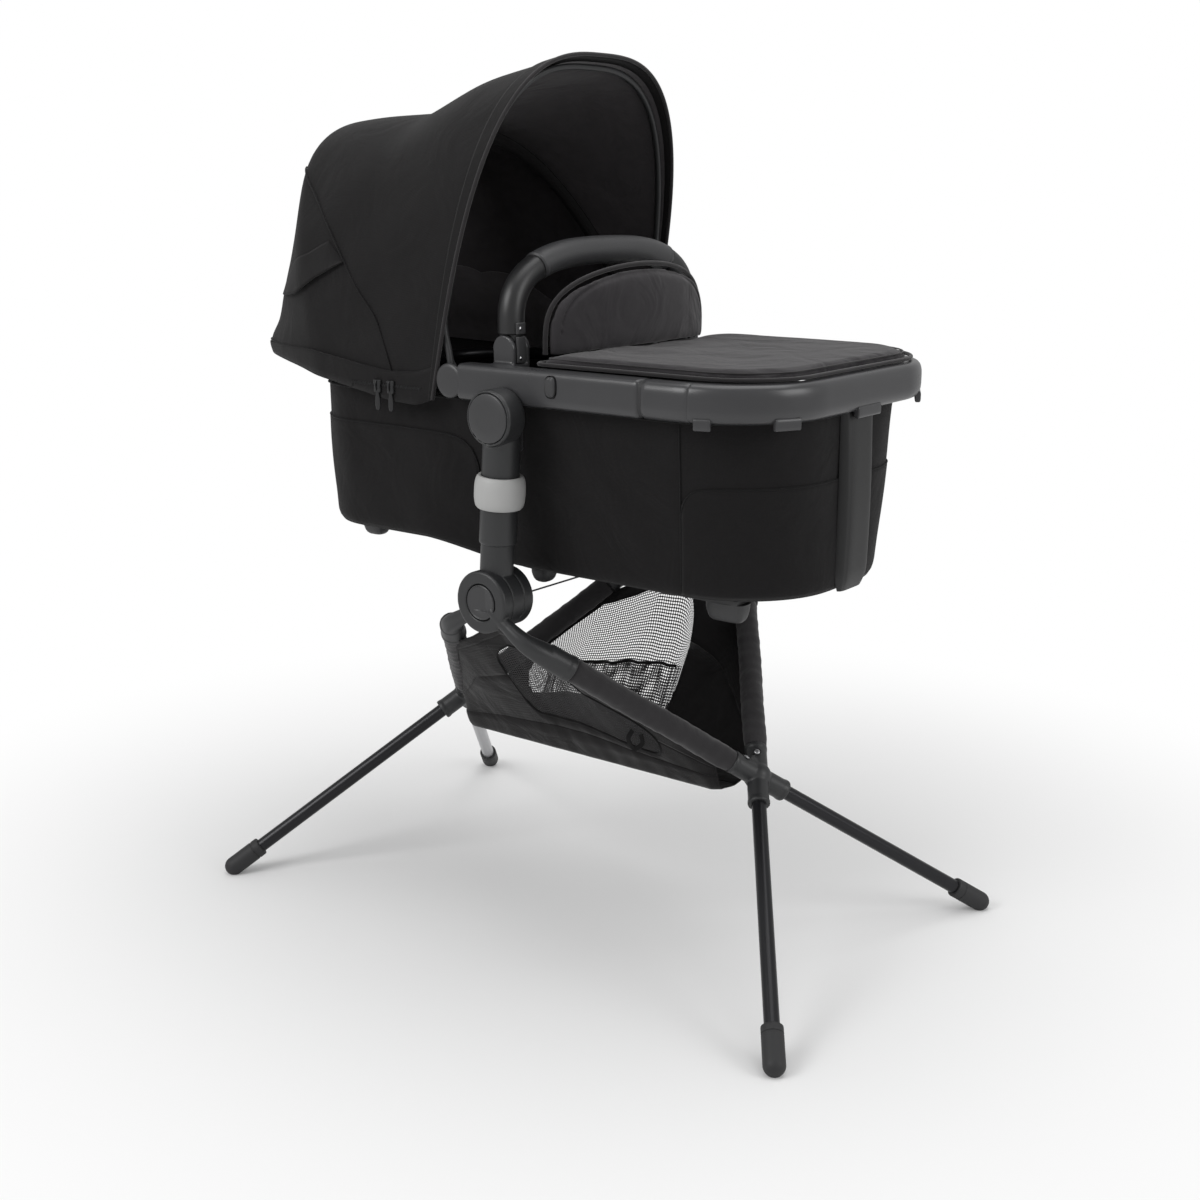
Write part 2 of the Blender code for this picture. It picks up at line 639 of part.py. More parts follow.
def cross(name, centre, neck_end, foot):
    """Moulded cross: two sockets take the arms from above, two hold the legs below.

    The facets of the two sides differ, so that no facets of the mirrored sockets coincide.
    """
    body = bmesh.new()
    place = Matrix.Translation(centre) @ Matrix.Rotation(0.2, 4, "Z")
    bmesh.ops.create_uvsphere(body, u_segments=12, v_segments=8, radius=CROSS_BODY_RADIUS, matrix=place)
    hub = mesh_object(body)
    overlap = CROSS_BODY_RADIUS * 0.2
    facets = {-1: 12, 1: 14}
    for side in SIDES.values():
        up = (at_side(neck_end, side) - centre).normalized()
        socket_end = centre + up * CROSS_SOCKET_LENGTH
        radius = CROSS_SOCKET_RADIUS + SOCKET_STEP
        unite(hub, rod(centre - up * overlap, socket_end, radius, sides=facets[side]))
        down = leg_direction(centre, foot, side)
        socket_end = centre + down * LEG_SOCKET_LENGTH
        unite(hub, rod(centre - down * overlap, socket_end, CROSS_SOCKET_RADIUS, sides=facets[side]))
    middle = (at_side(neck_end, 1) + at_side(neck_end, -1)) / 2 - centre
    unite(hub, rod(centre, centre + middle.normalized() * CROSS_WEB_LENGTH, CROSS_WEB_RADIUS, sides=13))
    for side in SIDES.values():
        up = (at_side(neck_end, side) - centre).normalized()
        start = centre + up * (CROSS_BODY_RADIUS + ARM_FLOOR)
        cut(hub, rod(start, start + up * CROSS_SOCKET_LENGTH, ARM_TUBE_RADIUS + RUN, sides=facets[side]))
        down = leg_direction(centre, foot, side)
        start = centre + down * (LEG_SOCKET_LENGTH - LEG_INSERT)
        cut(hub, rod(start, start + down * LEG_SOCKET_LENGTH, LEG_RADIUS + RUN, sides=facets[side]))
        place, outward = snap_place(centre, neck_end, side)
        cut(hub, rod(place, place + outward * CROSS_SOCKET_RADIUS * 2, SNAP_RADIUS + RUN, sides=10))
    named(hub, f"{name}_cross", "frame")


def snap_place(centre, neck_end, side):
    """Middle of a snap button on the arm's axis and the way it points, out over the other side."""
    up = (at_side(neck_end, side) - centre).normalized()
    outward = Vector((math.copysign(0.6, centre.x), -side * 0.78, 0.25))
    outward = (outward - up * outward.dot(up)).normalized()
    return centre + up * SNAP_DISTANCE, outward


def snap_button(name, centre, neck_end, side):
    """Button in the wall of an arm socket, with room to travel before it meets the arm."""
    place, outward = snap_place(centre, neck_end, side)
    inner = ARM_TUBE_RADIUS + RUN + SNAP_TRAVEL
    outer = CROSS_SOCKET_RADIUS + SNAP_PROUD
    end_radius = SNAP_RADIUS * 0.83
    stem = rod(place + outward * inner, place + outward * outer, SNAP_RADIUS, end_radius, sides=12)
    named(stem, f"snap_button_{name}", "silver")


def leg(name, centre, foot, side):
    """Leg tube and its rubber foot."""
    down = leg_direction(centre, foot, side)
    tip = at_side(foot, side) + down * FOOT_CAP_RADIUS
    start = centre + down * (LEG_SOCKET_LENGTH - LEG_INSERT + SEAT)
    named(rod(start, tip - down * (FOOT_SOLE + SEAT), LEG_RADIUS), f"leg_{name}",
          "silver" if name == "rear_left" else "anodised")

    radius = FOOT_CAP_RADIUS
    length = FOOT_CAP_LENGTH
    bore = LEG_RADIUS + SEAT
    edge = FOOT_CAP_RADIUS * 0.08
    dome = [math.radians(angle) for angle in (0, 25, 50, 70)]
    cap_profile = [(bore, length), (radius - edge, length), (radius, length - edge)]
    cap_profile += [(radius * math.cos(angle), radius - radius * math.sin(angle)) for angle in dome]
    cap_profile += [(0.0, 0.0), (0.0, FOOT_SOLE), (bore, FOOT_SOLE), (bore, length)]
    cap = turned(cap_profile, tip, -down, steps=16)
    under = Vector((tip.x, tip.y, 0.0))
    reach = Vector((length, length, length))
    cut(cap, block(under - reach, under + Vector((length, length, 0.0))))
    named(cap, f"foot_{name}", "rubber")


def basket():
    """Fabric trough between the arms: two sloping sides and a floor, open above."""
    front_end = FRONT_NECK_END + (FRONT_CROSS - FRONT_NECK_END).normalized() * NECK_SOCKET_LENGTH
    rear_end = REAR_NECK_END + (REAR_CROSS - REAR_NECK_END).normalized() * NECK_SOCKET_LENGTH

    def drop(end, centre):
        slope = (centre - end).normalized().z
        return (ARM_SLEEVE_RADIUS + FABRIC / 2 + BASKET_HANG) / math.sqrt(1.0 - slope * slope)

    front_drop, rear_drop = drop(FRONT_NECK_END, FRONT_CROSS), drop(REAR_NECK_END, REAR_CROSS)

    def top_edge(x):
        if x > front_end.x:
            share = (x - front_end.x) / (FRONT_CROSS.x - front_end.x)
            point = front_end.lerp(FRONT_CROSS, share) - Vector((0.0, 0.0, front_drop))
        elif x < rear_end.x:
            share = (x - rear_end.x) / (REAR_CROSS.x - rear_end.x)
            point = rear_end.lerp(REAR_CROSS, share) - Vector((0.0, 0.0, rear_drop))
        else:
            share = (x - rear_end.x) / (front_end.x - rear_end.x)
            point = rear_end.lerp(front_end, share) - Vector((0.0, 0.0, max(front_drop, rear_drop)))
        return point.y, point.z

    stations = [BASKET_REAR_X + (BASKET_FRONT_X - BASKET_REAR_X) * i / 10 for i in range(11)]
    rows = []
    for x in stations:
        y, z = top_edge(x)
        floor_half = min(BASKET_FLOOR_HALF, y * 0.85)
        floor_z = BASKET_FLOOR_Z
        half = [
            (x, y, z),
            (x, y * 0.6 + floor_half * 0.4, z * 0.6 + (floor_z + 0.02) * 0.4),
            (x, floor_half, floor_z + 0.020),
            (x, floor_half * 0.8, floor_z + 0.004),
            (x, 0.0, floor_z),
        ]
        mirrored = [(px, -py, pz) for px, py, pz in reversed(half[:-1])]
        rows.append(half + mirrored)
    bm = loft(rows, closed_rows=False, caps=False)
    obj = mesh_object(bm)
    shell = obj.modifiers.new("shell", "SOLIDIFY")
    shell.thickness = FABRIC
    shell.offset = 0.0
    shell.use_even_offset = True
    named(obj, "basket", "fabric")


def sync_cable():
    """Thin cable that joins the two drum locks, taut between the rear arm heads."""
    x = DRUM_X + CABLE_AHEAD
    z = DRUM_Z + CABLE_ABOVE
    end = REAR_HEAD_INNER - SEAT
    named(rod((x, -end, z), (x, end, z), CABLE_RADIUS, sides=8), "sync_cable", "steel")


def rail_path(half, front_x, corner, start_x, end_turn=1, count=6):
    """Plan path of a rail that turns round one end of the carrycot, from one side to the other."""
    points = [Vector((start_x, -half, 0.0))]
    for corner_side, angles in ((-1, (-90, 0)), (1, (0, 90))):
        centre = Vector((front_x - end_turn * corner, corner_side * (half - corner), 0.0))
        for i in range(count):
            angle = math.radians(angles[0] + (angles[1] - angles[0]) * i / (count - 1))
            offset = Vector((end_turn * math.cos(angle), math.sin(angle), 0.0)) * corner
            points.append(centre + offset)
    points.append(Vector((start_x, half, 0.0)))
    return points


def rail_front():
    """Moulded rail round the foot end with the hooks that hold the fabric body under it."""
    section = section_curve(RAIL_WIDTH, RAIL_HEIGHT, 3.2)
    path = rail_path(RAIL_HALF, RAIL_FRONT_X, RAIL_CORNER, RAIL_SEAM_X + SEAT)
    rail = swept(path, [1.0] * len(path), section=section)
    rail.data.transform(Matrix.Translation((0.0, 0.0, RAIL_BOTTOM + RAIL_HEIGHT / 2)))
    for angle, length in HOOKS:
        corner = math.radians(angle)
        x = RAIL_FRONT_X - RAIL_CORNER + (RAIL_CORNER + HOOK_OUT) * math.cos(corner)
        y = math.copysign(RAIL_HALF - RAIL_CORNER, angle) + (RAIL_CORNER + HOOK_OUT) * math.sin(corner)
        if angle == 0:
            y = 0.0
        hook = block(
            (-HOOK_THICKNESS / 2, -length / 2, RAIL_BOTTOM - HOOK_DROP),
            (HOOK_THICKNESS / 2, length / 2, RAIL_BOTTOM + HOOK_DROP), edge=HOOK_THICKNESS / 5, segments=1,
        )
        hook.data.transform(Matrix.Translation((x, y, 0.0)) @ Matrix.Rotation(corner, 4, "Z"))
        unite(rail, hook)
    named(rail, "rail_front", "frame")


def rail_head():
    """Tube round the head end, under the hood's hem, fixed inside the side castings."""
    half = RAIL_INNER - SEAT - HEAD_TUBE_RADIUS
    path = rail_path(half, HEAD_TUBE_X, HEAD_TUBE_CORNER, HEAD_TUBE_START_X, end_turn=-1, count=5)
    z = RAIL_BOTTOM + HEAD_TUBE_RADIUS
    path = [point + Vector((0.0, 0.0, z)) for point in path]
    tube = swept(path, [HEAD_TUBE_RADIUS] * len(path), resolution=2)
    named(tube, "rail_head", "anodised")


def rail_side(name, side):
    """Side casting: rail, ear for the hood, cheeks for the handle and tongue for the stand."""
    rail = side_block(
        (RAIL_REAR_X, RAIL_SEAM_X), (RAIL_INNER, RAIL_OUTER), (RAIL_BOTTOM, RAIL_TOP), side, edge=0.006,
    )
    ear_inner = RAIL_OUTER - HOOD_EAR_WIDTH
    ear = cross_bar(HOOD_PIVOT_X, HOOD_PIVOT_Z, ear_inner, RAIL_OUTER, side, BOW_DISC_RADIUS)
    ear_arm = side_block(
        (HOOD_PIVOT_X, RAIL_REAR_X + 0.010), (ear_inner, RAIL_OUTER),
        (HOOD_PIVOT_Z - BOW_DISC_RADIUS * 0.8, HOOD_PIVOT_Z + BOW_DISC_RADIUS * 0.8), side,
    )
    pin_end = ear_inner - 2 * BOW_DISC_WIDTH - 3 * SEAT
    hood_pin = cross_bar(HOOD_PIVOT_X, HOOD_PIVOT_Z, pin_end, RAIL_OUTER - 0.001, side, HOOD_PIN_RADIUS, 8)
    cap_x = along_upright(side, CAP_HEIGHT).x
    tongue_low = UPRIGHT_Y - SLEEVE_RADIUS + 0.0006
    tongue = side_block(
        (cap_x - TONGUE_WIDTH / 2, cap_x + TONGUE_WIDTH / 2),
        (tongue_low, UPRIGHT_Y - SLEEVE_RADIUS + TONGUE_THICKNESS),
        (RAIL_BOTTOM - TONGUE_DROP, RAIL_BOTTOM + 0.008), side, edge=0.0012,
    )
    unite(rail, ear, ear_arm, hood_pin, tongue)
    gap_half = HANDLE_TONGUE_WIDTH / 2 + RUN
    cheek_outer = HANDLE_HALF + gap_half + HANDLE_CHEEK
    cheek_inner = HANDLE_HALF - gap_half - HANDLE_CHEEK
    shelf = side_block(
        (HANDLE_X - HANDLE_KNUCKLE_RADIUS, HANDLE_X + HANDLE_KNUCKLE_RADIUS), (cheek_inner, RAIL_HALF),
        (RAIL_TOP - HANDLE_SHELF, RAIL_TOP + SHELF_RISE), side,
    )
    unite(rail, shelf)
    for low, high in ((cheek_inner, HANDLE_HALF - gap_half), (HANDLE_HALF + gap_half, cheek_outer)):
        knuckle = cross_bar(HANDLE_X, HANDLE_PIVOT_Z, low, high, side, HANDLE_KNUCKLE_RADIUS)
        foot = side_block(
            (HANDLE_X - HANDLE_KNUCKLE_RADIUS, HANDLE_X + HANDLE_KNUCKLE_RADIUS), (low, high),
            (RAIL_TOP - HANDLE_SHELF / 2, HANDLE_PIVOT_Z), side,
        )
        unite(rail, foot, knuckle)
    handle_pin = cross_bar(
        HANDLE_X, HANDLE_PIVOT_Z, cheek_inner - 0.0008, cheek_outer + 0.0008, side, HANDLE_PIN_RADIUS, 8,
    )
    unite(rail, handle_pin)
    button_z = RAIL_BOTTOM + RAIL_HEIGHT * 0.6
    recess = side_block(
        (THUMB_BUTTON_X - THUMB_BUTTON_WIDTH / 2 - RUN, THUMB_BUTTON_X + THUMB_BUTTON_WIDTH / 2 + RUN),
        (RAIL_OUTER - 0.008, RAIL_OUTER + 0.01),
        (button_z - THUMB_BUTTON_HEIGHT / 2 - RUN, button_z + THUMB_BUTTON_HEIGHT / 2 + RUN), side,
    )
    cut(rail, recess)
    named(rail, f"rail_side_{name}", "frame")

    button = side_block(
        (THUMB_BUTTON_X - THUMB_BUTTON_WIDTH / 2, THUMB_BUTTON_X + THUMB_BUTTON_WIDTH / 2),
        (RAIL_OUTER - 0.0045, RAIL_OUTER + THUMB_BUTTON_PROUD),
        (button_z - THUMB_BUTTON_HEIGHT / 2, button_z + THUMB_BUTTON_HEIGHT / 2), side, edge=0.0022,
    )
    named(button, f"memory_button_{name}", "frame")


def handle_point(angle):
    """Point on the handle's arch: a flattened superellipse above its straight legs."""
    power = 2 / 2.7
    base_z = HANDLE_PIVOT_Z + HANDLE_STRAIGHT
    cosine, sine = math.cos(angle), math.sin(angle)
    y = math.copysign(abs(cosine) ** power, cosine) * HANDLE_HALF
    z = base_z + abs(sine) ** power * (HANDLE_TOP_Z - base_z)
    return Vector((HANDLE_X, y, z))


def handle():
    """Two moulded handle ends with their knuckles and the wrapped grip between them."""
    arch = [handle_point(math.pi * i / 20) for i in range(21)]
    left_break = next(i for i, point in enumerate(arch) if point.y < GRIP_HALF)
    share = (arch[left_break - 1].y - GRIP_HALF) / (arch[left_break - 1].y - arch[left_break].y)
    joint = arch[left_break - 1].lerp(arch[left_break], share)
    step = (arch[left_break] - arch[left_break - 1]).normalized() * SEAT / 2
    for name, side in SIDES.items():
        outer = [at_side(point, side) for point in arch[:left_break] + [joint - step]]
        start = Vector((HANDLE_X, side * HANDLE_HALF, HANDLE_PIVOT_Z + HANDLE_KNUCKLE_RADIUS + RUN))
        leg_bar = swept([start] + outer, [HANDLE_TUBE_RADIUS] * (len(outer) + 1))
        half = HANDLE_TONGUE_WIDTH / 2
        knuckle = cross_bar(
            HANDLE_X, HANDLE_PIVOT_Z, HANDLE_HALF - half, HANDLE_HALF + half, side, HANDLE_KNUCKLE_RADIUS - 0.001,
        )
        web = side_block(
            (HANDLE_X - HANDLE_KNUCKLE_RADIUS + 0.003, HANDLE_X + HANDLE_KNUCKLE_RADIUS - 0.003),
            (HANDLE_HALF - half, HANDLE_HALF + half),
            (HANDLE_PIVOT_Z, HANDLE_PIVOT_Z + HANDLE_KNUCKLE_RADIUS + 0.006), side,
        )
        unite(leg_bar, web, knuckle)
        low_y, high_y = HANDLE_HALF - 2 * half, HANDLE_HALF + 2 * half
        cut(leg_bar, cross_bar(HANDLE_X, HANDLE_PIVOT_Z, low_y, high_y, side, HANDLE_PIN_RADIUS + RUN, 8))
        named(leg_bar, f"handle_end_{name}", "frame")
    middle = arch[left_break:len(arch) - left_break]
    grip_points = [joint + step] + middle + [at_side(joint + step, -1)]
    grip = swept(grip_points, [HANDLE_TUBE_RADIUS + 0.0012] * len(grip_points))
    named(grip, "handle_grip", "leather")


def side_stations(low, high):
    """Places along a straight side, front to rear, close together where the floor steps."""
    places = [POD_RISE_X + POD_RISE_LENGTH * part for part in (1.1, 0.5, 0.25, 0.0, -0.25, -0.5)]
    return [x for x in places if low + 0.01 < x < high - 0.01]


def pod_outline(rear, front, half, rear_corner, front_corner, steps=6):
    """Plan outline from the front middle round to the rear middle and back, mirrored in Y."""
    half_points = [(front, 0.0), (front, -(half - front_corner) * 0.6)]
    for i in range(steps):
        angle = math.radians(-90 * i / (steps - 1))
        half_points.append((
            front - front_corner + front_corner * math.cos(angle),
            -(half - front_corner) + front_corner * math.sin(angle),
        ))
    for x in side_stations(rear + rear_corner, front - front_corner):
        half_points.append((x, -half))
    for i in range(steps):
        angle = math.radians(-90 - 90 * i / (steps - 1))
        half_points.append((
            rear + rear_corner + rear_corner * math.cos(angle),
            -(half - rear_corner) + rear_corner * math.sin(angle),
        ))
    half_points.append((rear, -(half - rear_corner) * 0.5))
    half_points.append((rear, 0.0))
    mirrored = [(x, -y) for x, y in reversed(half_points[1:-1])]
    return half_points + mirrored


def rise_share(x):
    """Smooth step from 0 at the foot end to 1 at the head end."""
    share = min(max(0.5 - (x - POD_RISE_X) / POD_RISE_LENGTH, 0.0), 1.0)
    return share * share * (3 - 2 * share)


def pod_floor(x):
    """Height of the fabric body's underside: it steps up towards the head end."""
    return POD_FLOOR_Z + POD_FLOOR_RISE * rise_share(x)


def pod_ring(level, inset, lift=0.0, top=POD_TOP_Z):
    """One ring of the body: level 0 is at the floor and 1 at the top.

    A piece inside the body ends at a lower top, and takes the body's width at each height.
    """
    reach = level * (top - POD_FLOOR_Z) / (POD_TOP_Z - POD_FLOOR_Z)
    half = POD_FLOOR_HALF + (POD_TOP_HALF - POD_FLOOR_HALF) * reach - inset
    rear = POD_REAR_X + inset
    front = POD_FRONT_X - inset
    points = pod_outline(rear, front, half, POD_REAR_CORNER - inset, POD_FRONT_CORNER - inset)
    ring = []
    for x, y in points:
        low = pod_floor(x) + lift
        widen = 1.0 + POD_REAR_WIDEN_SHARE * rise_share(x) * (1.0 - reach)
        ring.append((x, y * widen, low + (top - low) * level))
    return ring


def close_across(bm, ring, ends=1):
    """Close a mirrored ring with strips across the middle plane.

    The first and the last strip reach from one end to the given point on each side of it, so
    a straight end makes no strip without width.
    """
    half = len(ring) // 2
    bm.faces.new([ring[i] for i in range(-ends, ends + 1)])
    for i in range(ends, half - ends):
        bm.faces.new((ring[i], ring[i + 1], ring[-i - 1], ring[-i]))
    bm.faces.new(ring[half - ends:half + ends + 1])


def pod():
    """Fabric body: thin walls and floor, rounded at the lower edge, open above."""
    levels = ((0.0, 0.014), (0.020, 0.0045), (0.075, 0.0), (1.0, 0.0))
    rings = [pod_ring(level, inset) for level, inset in levels]
    bm = loft(rings, caps=False)
    bm.verts.ensure_lookup_table()
    close_across(bm, bm.verts[:len(rings[0])], ends=STRAIGHT_END)
    obj = mesh_object(bm)
    shell = obj.modifiers.new("wall", "SOLIDIFY")
    shell.thickness = POD_WALL
    shell.offset = -1.0
    shell.use_even_offset = True
    named(obj, "body_fabric", "fabric")


def mattress():
    """Mattress on the floor of the body."""
    lift = POD_WALL + SEAT
    inset = POD_WALL + MATTRESS_INSET
    shape = ((0.0, 0.017), (0.25, 0.003), (0.8, 0.003), (1.0, 0.012))
    rings = [pod_ring(level, inset + tuck, lift, MATTRESS_TOP_Z) for level, tuck in shape]
    bm = loft(rings, caps=False)
    bm.verts.ensure_lookup_table()
    count = len(rings[0])
    close_across(bm, bm.verts[:count], ends=STRAIGHT_END)
    close_across(bm, bm.verts[-count:], ends=STRAIGHT_END)
    named(mesh_object(bm), "mattress", "foam")


def base_plate():
    """Rigid plate under the fabric body with its feet and the two stand brackets."""
    xs = [BASE_FRONT_X] + side_stations(BASE_REAR_X, BASE_FRONT_X) + [BASE_REAR_X]
    upper = [(x, pod_floor(x) - SEAT) for x in xs]
    lower = [(x, z - BASE_THICKNESS) for x, z in reversed(upper)]
    outline = upper + lower
    rings = [[(x, y, z) for x, z in outline] for y in (-BASE_HALF, BASE_HALF)]
    bm = loft(rings)
    plate = mesh_object(bm)
    for x, length, height in (
        (BASE_REAR_X + POD_FOOT_LENGTH * 0.5, 0.85, 1.3), (-POD_FOOT_HEIGHT * 0.1, 0.65, 1.1),
        (BASE_FRONT_X - POD_FOOT_LENGTH * 0.5, 1.25, 1.45),
    ):
        for side in SIDES.values():
            under = pod_floor(x) - BASE_THICKNESS
            half_length = POD_FOOT_LENGTH * length / 2
            foot = block(
                (x - half_length, side * (BASE_HALF - POD_FOOT_WIDTH), under - POD_FOOT_HEIGHT * height),
                (x + half_length, side * (BASE_HALF - SEAT), under + BASE_THICKNESS / 2),
                edge=BASE_THICKNESS, segments=1,
            )
            unite(plate, foot)
    named(plate, "base_plate", "frame")


def spine():
    """Curved strip that runs down the foot end from the rail to the base."""
    rings = []
    top = RAIL_BOTTOM - SEAT - 0.0003
    bottom = POD_FLOOR_Z - 0.006
    for i in range(9):
        share = i / 8
        z = top + (bottom - top) * share
        swell = math.sin(math.pi * share) * 0.003
        tuck = max(0.0, share - 0.88) / 0.12
        half = SPINE_WIDTH / 2 - 0.006 * tuck
        back = POD_FRONT_X + SEAT
        face = back + SPINE_DEPTH + swell - 0.006 * tuck
        ring = [(back, -half), (face - 0.005, -half), (face - 0.001, -half * 0.8), (face, 0.0)]
        ring += [(face - 0.001, half * 0.8), (face - 0.005, half), (back, half)]
        rings.append([(x, y, z) for x, y in ring])
    named(mesh_object(loft(rings)), "front_spine", "frame")


def hood_rib(share, inset):
    """Foot and top of the hood's rib at a share of its way from front to rear.

    Shares 0 to 1 run from the front edge to the rear hem.
    """
    for low, high in zip(HOOD_RIB_SHARES, HOOD_RIB_SHARES[1:]):
        if share <= high[0]:
            part = (share - low[0]) / (high[0] - low[0])
            blend = [a + (b - a) * part for a, b in zip(low[1:], high[1:])]
            break
    foot_x, top_x = (HOOD_PIVOT_X + part * HOOD_REACH for part in (blend[0], blend[3]))
    foot_z, top_z = (HOOD_PIVOT_Z + part * HOOD_RISE for part in (blend[2], blend[4]))
    return foot_x + inset * share, HOOD_HALF * blend[1] - inset, foot_z, top_x + inset * share, top_z - inset


def hood_arch(share, inset=0.0, count=16, power=2.9):
    """Points of one rib from the right foot over the top to the left foot."""
    foot_x, half, foot_z, top_x, top_z = hood_rib(share, inset)
    points = []
    for i in range(count + 1):
        angle = math.pi * i / count
        out = -math.copysign(abs(math.cos(angle)) ** (2 / power), math.cos(angle)) * half
        rise = abs(math.sin(angle)) ** (2 / power)
        points.append((foot_x + (top_x - foot_x) * rise, out, foot_z + (top_z - foot_z) * rise))
    return points


def hood():
    """Fabric canopy with its open front, on two bows that turn in the rail's ears."""
    shares = [0.0, 0.08, 0.16, 0.34, 0.52, 0.60, 0.68, 0.80, 0.90, 0.97]
    rings = [hood_arch(share) for share in shares]
    bm = loft(rings, closed_rows=False, caps=False)
    bm.verts.ensure_lookup_table()
    bm.faces.new([bm.verts[-1 - i] for i in range(len(rings[-1]))])
    canopy = mesh_object(bm)
    shell = canopy.modifiers.new("cloth", "SOLIDIFY")
    shell.thickness = HOOD_FABRIC
    shell.offset = -1.0
    shell.use_even_offset = True
    tube_z = RAIL_BOTTOM + HEAD_TUBE_RADIUS
    for side in SIDES.values():
        tab = side_block(
            (HOOD_TAB_X - HOOD_TAB_LENGTH / 2, HOOD_TAB_X + HOOD_TAB_LENGTH / 2),
            (RAIL_INNER, HOOD_HALF - HOOD_FABRIC / 2),
            (tube_z - HOOD_TAB_THICKNESS / 2, tube_z + HOOD_TAB_THICKNESS / 2), side,
        )
        unite(canopy, tab)
    named(canopy, "hood_canopy", "fabric")

    ear_inner = RAIL_OUTER - HOOD_EAR_WIDTH
    front_out = ear_inner - SEAT
    rear_out = front_out - BOW_DISC_WIDTH - SEAT
    bow("hood_bow_front", front_bow_path(front_out - BOW_DISC_WIDTH / 2), front_out)
    bow("hood_bow_rear", rear_bow_path(rear_out - BOW_DISC_WIDTH / 2), rear_out)


def front_bow_path(foot_y):
    """Front bow: it leaves the pivot and follows the hood's front edge inside the cloth."""
    inset = HOOD_FABRIC + HOOD_BOW_RADIUS + BOW_SLACK
    arch = [Vector(point) for point in hood_arch(0.03, inset, count=16)]
    arch = [point for point in arch if point.z > HOOD_PIVOT_Z + BOW_LIFT]
    low = [Vector((HOOD_PIVOT_X, side * foot_y, HOOD_PIVOT_Z)) for side in (-1, 1)]
    bend_x = HOOD_PIVOT_X - HOOD_BOW_RADIUS
    low_mid = [Vector((bend_x, side * foot_y, HOOD_PIVOT_Z + BOW_LOW)) for side in (-1, 1)]
    return [low[0], low_mid[0]] + arch + [low_mid[1], low[1]]


def rear_bow_path(foot_y):
    """Rear bow: an arch in the plane through the pivots and the top of the second rib."""
    top_x = HOOD_PIVOT_X + REAR_BOW_TOP_SHARES[0] * HOOD_REACH
    top_z = HOOD_PIVOT_Z + REAR_BOW_TOP_SHARES[1] * HOOD_RISE
    points = []
    count = 14
    for i in range(count + 1):
        angle = math.pi * i / count
        out = -math.copysign(abs(math.cos(angle)) ** 0.72, math.cos(angle)) * foot_y
        rise = abs(math.sin(angle)) ** 0.72
        points.append(Vector((
            HOOD_PIVOT_X + (top_x - HOOD_PIVOT_X) * rise, out,
            HOOD_PIVOT_Z + (top_z - HOOD_PIVOT_Z) * rise,
        )))
    return points


def bow(name, path, outer_y):
    """A round bow whose two feet are flat discs with a hole for the pivot pin."""
    bar = swept(path, [HOOD_BOW_RADIUS] * len(path), resolution=1)
    for side in SIDES.values():
        disc = cross_bar(HOOD_PIVOT_X, HOOD_PIVOT_Z, outer_y - BOW_DISC_WIDTH, outer_y, side, BOW_DISC_RADIUS)
        unite(bar, disc)
    low_y, high_y = outer_y - 2 * BOW_DISC_WIDTH, outer_y + BOW_DISC_WIDTH
    for side in SIDES.values():
        cut(bar, cross_bar(HOOD_PIVOT_X, HOOD_PIVOT_Z, low_y, high_y, side, HOOD_PIN_RADIUS + RUN, 8))
    named(bar, name, "frame")


def zip_slider():
    """Slider with its pull tab on the zip that holds the hood's hem."""
    y = -(HOOD_HALF + SEAT)
    edge = ZIP_THICKNESS / 6
    slider = block(
        (ZIP_X - ZIP_LENGTH / 2, y - ZIP_THICKNESS, RAIL_BOTTOM - 2 * edge),
        (ZIP_X + ZIP_LENGTH / 2, y, RAIL_BOTTOM - 2 * edge + ZIP_HEIGHT), edge=edge, segments=1,
    )
    tab = block(
        (ZIP_X - ZIP_TAB_WIDTH / 2, y - ZIP_THICKNESS * 0.75, RAIL_BOTTOM + 2 * edge - ZIP_TAB_LENGTH),
        (ZIP_X + ZIP_TAB_WIDTH / 2, y - ZIP_THICKNESS * 0.25, RAIL_BOTTOM + 2 * edge), edge=edge, segments=1,
    )
    unite(slider, tab)
    named(slider, "zip_slider", "frame")


def apron():
    """Flat padded apron on the rail over the foot end."""
    bottom = RAIL_TOP + SEAT
    outline = pod_outline(APRON_REAR_X, APRON_FRONT_X, APRON_HALF, 0.012, 0.085)
    rings = []
    for height, inset in ((0.0, 0.004), (0.3, 0.0), (0.75, 0.002), (1.0, 0.010)):
        middle_x = (APRON_REAR_X + APRON_FRONT_X) / 2
        half_length = (APRON_FRONT_X - APRON_REAR_X) / 2
        ring = []
        for x, y in outline:
            ring.append((
                middle_x + (x - middle_x) * (1 - inset / half_length),
                y * (1 - inset / APRON_HALF),
                bottom + APRON_THICKNESS * height,
            ))
        rings.append(ring)
    bm = loft(rings, caps=False)
    bm.verts.ensure_lookup_table()
    count = len(outline)
    close_across(bm, bm.verts[:count], ends=STRAIGHT_END)
    close_across(bm, bm.verts[-count:], ends=STRAIGHT_END)
    named(mesh_object(bm), "apron", "apron")


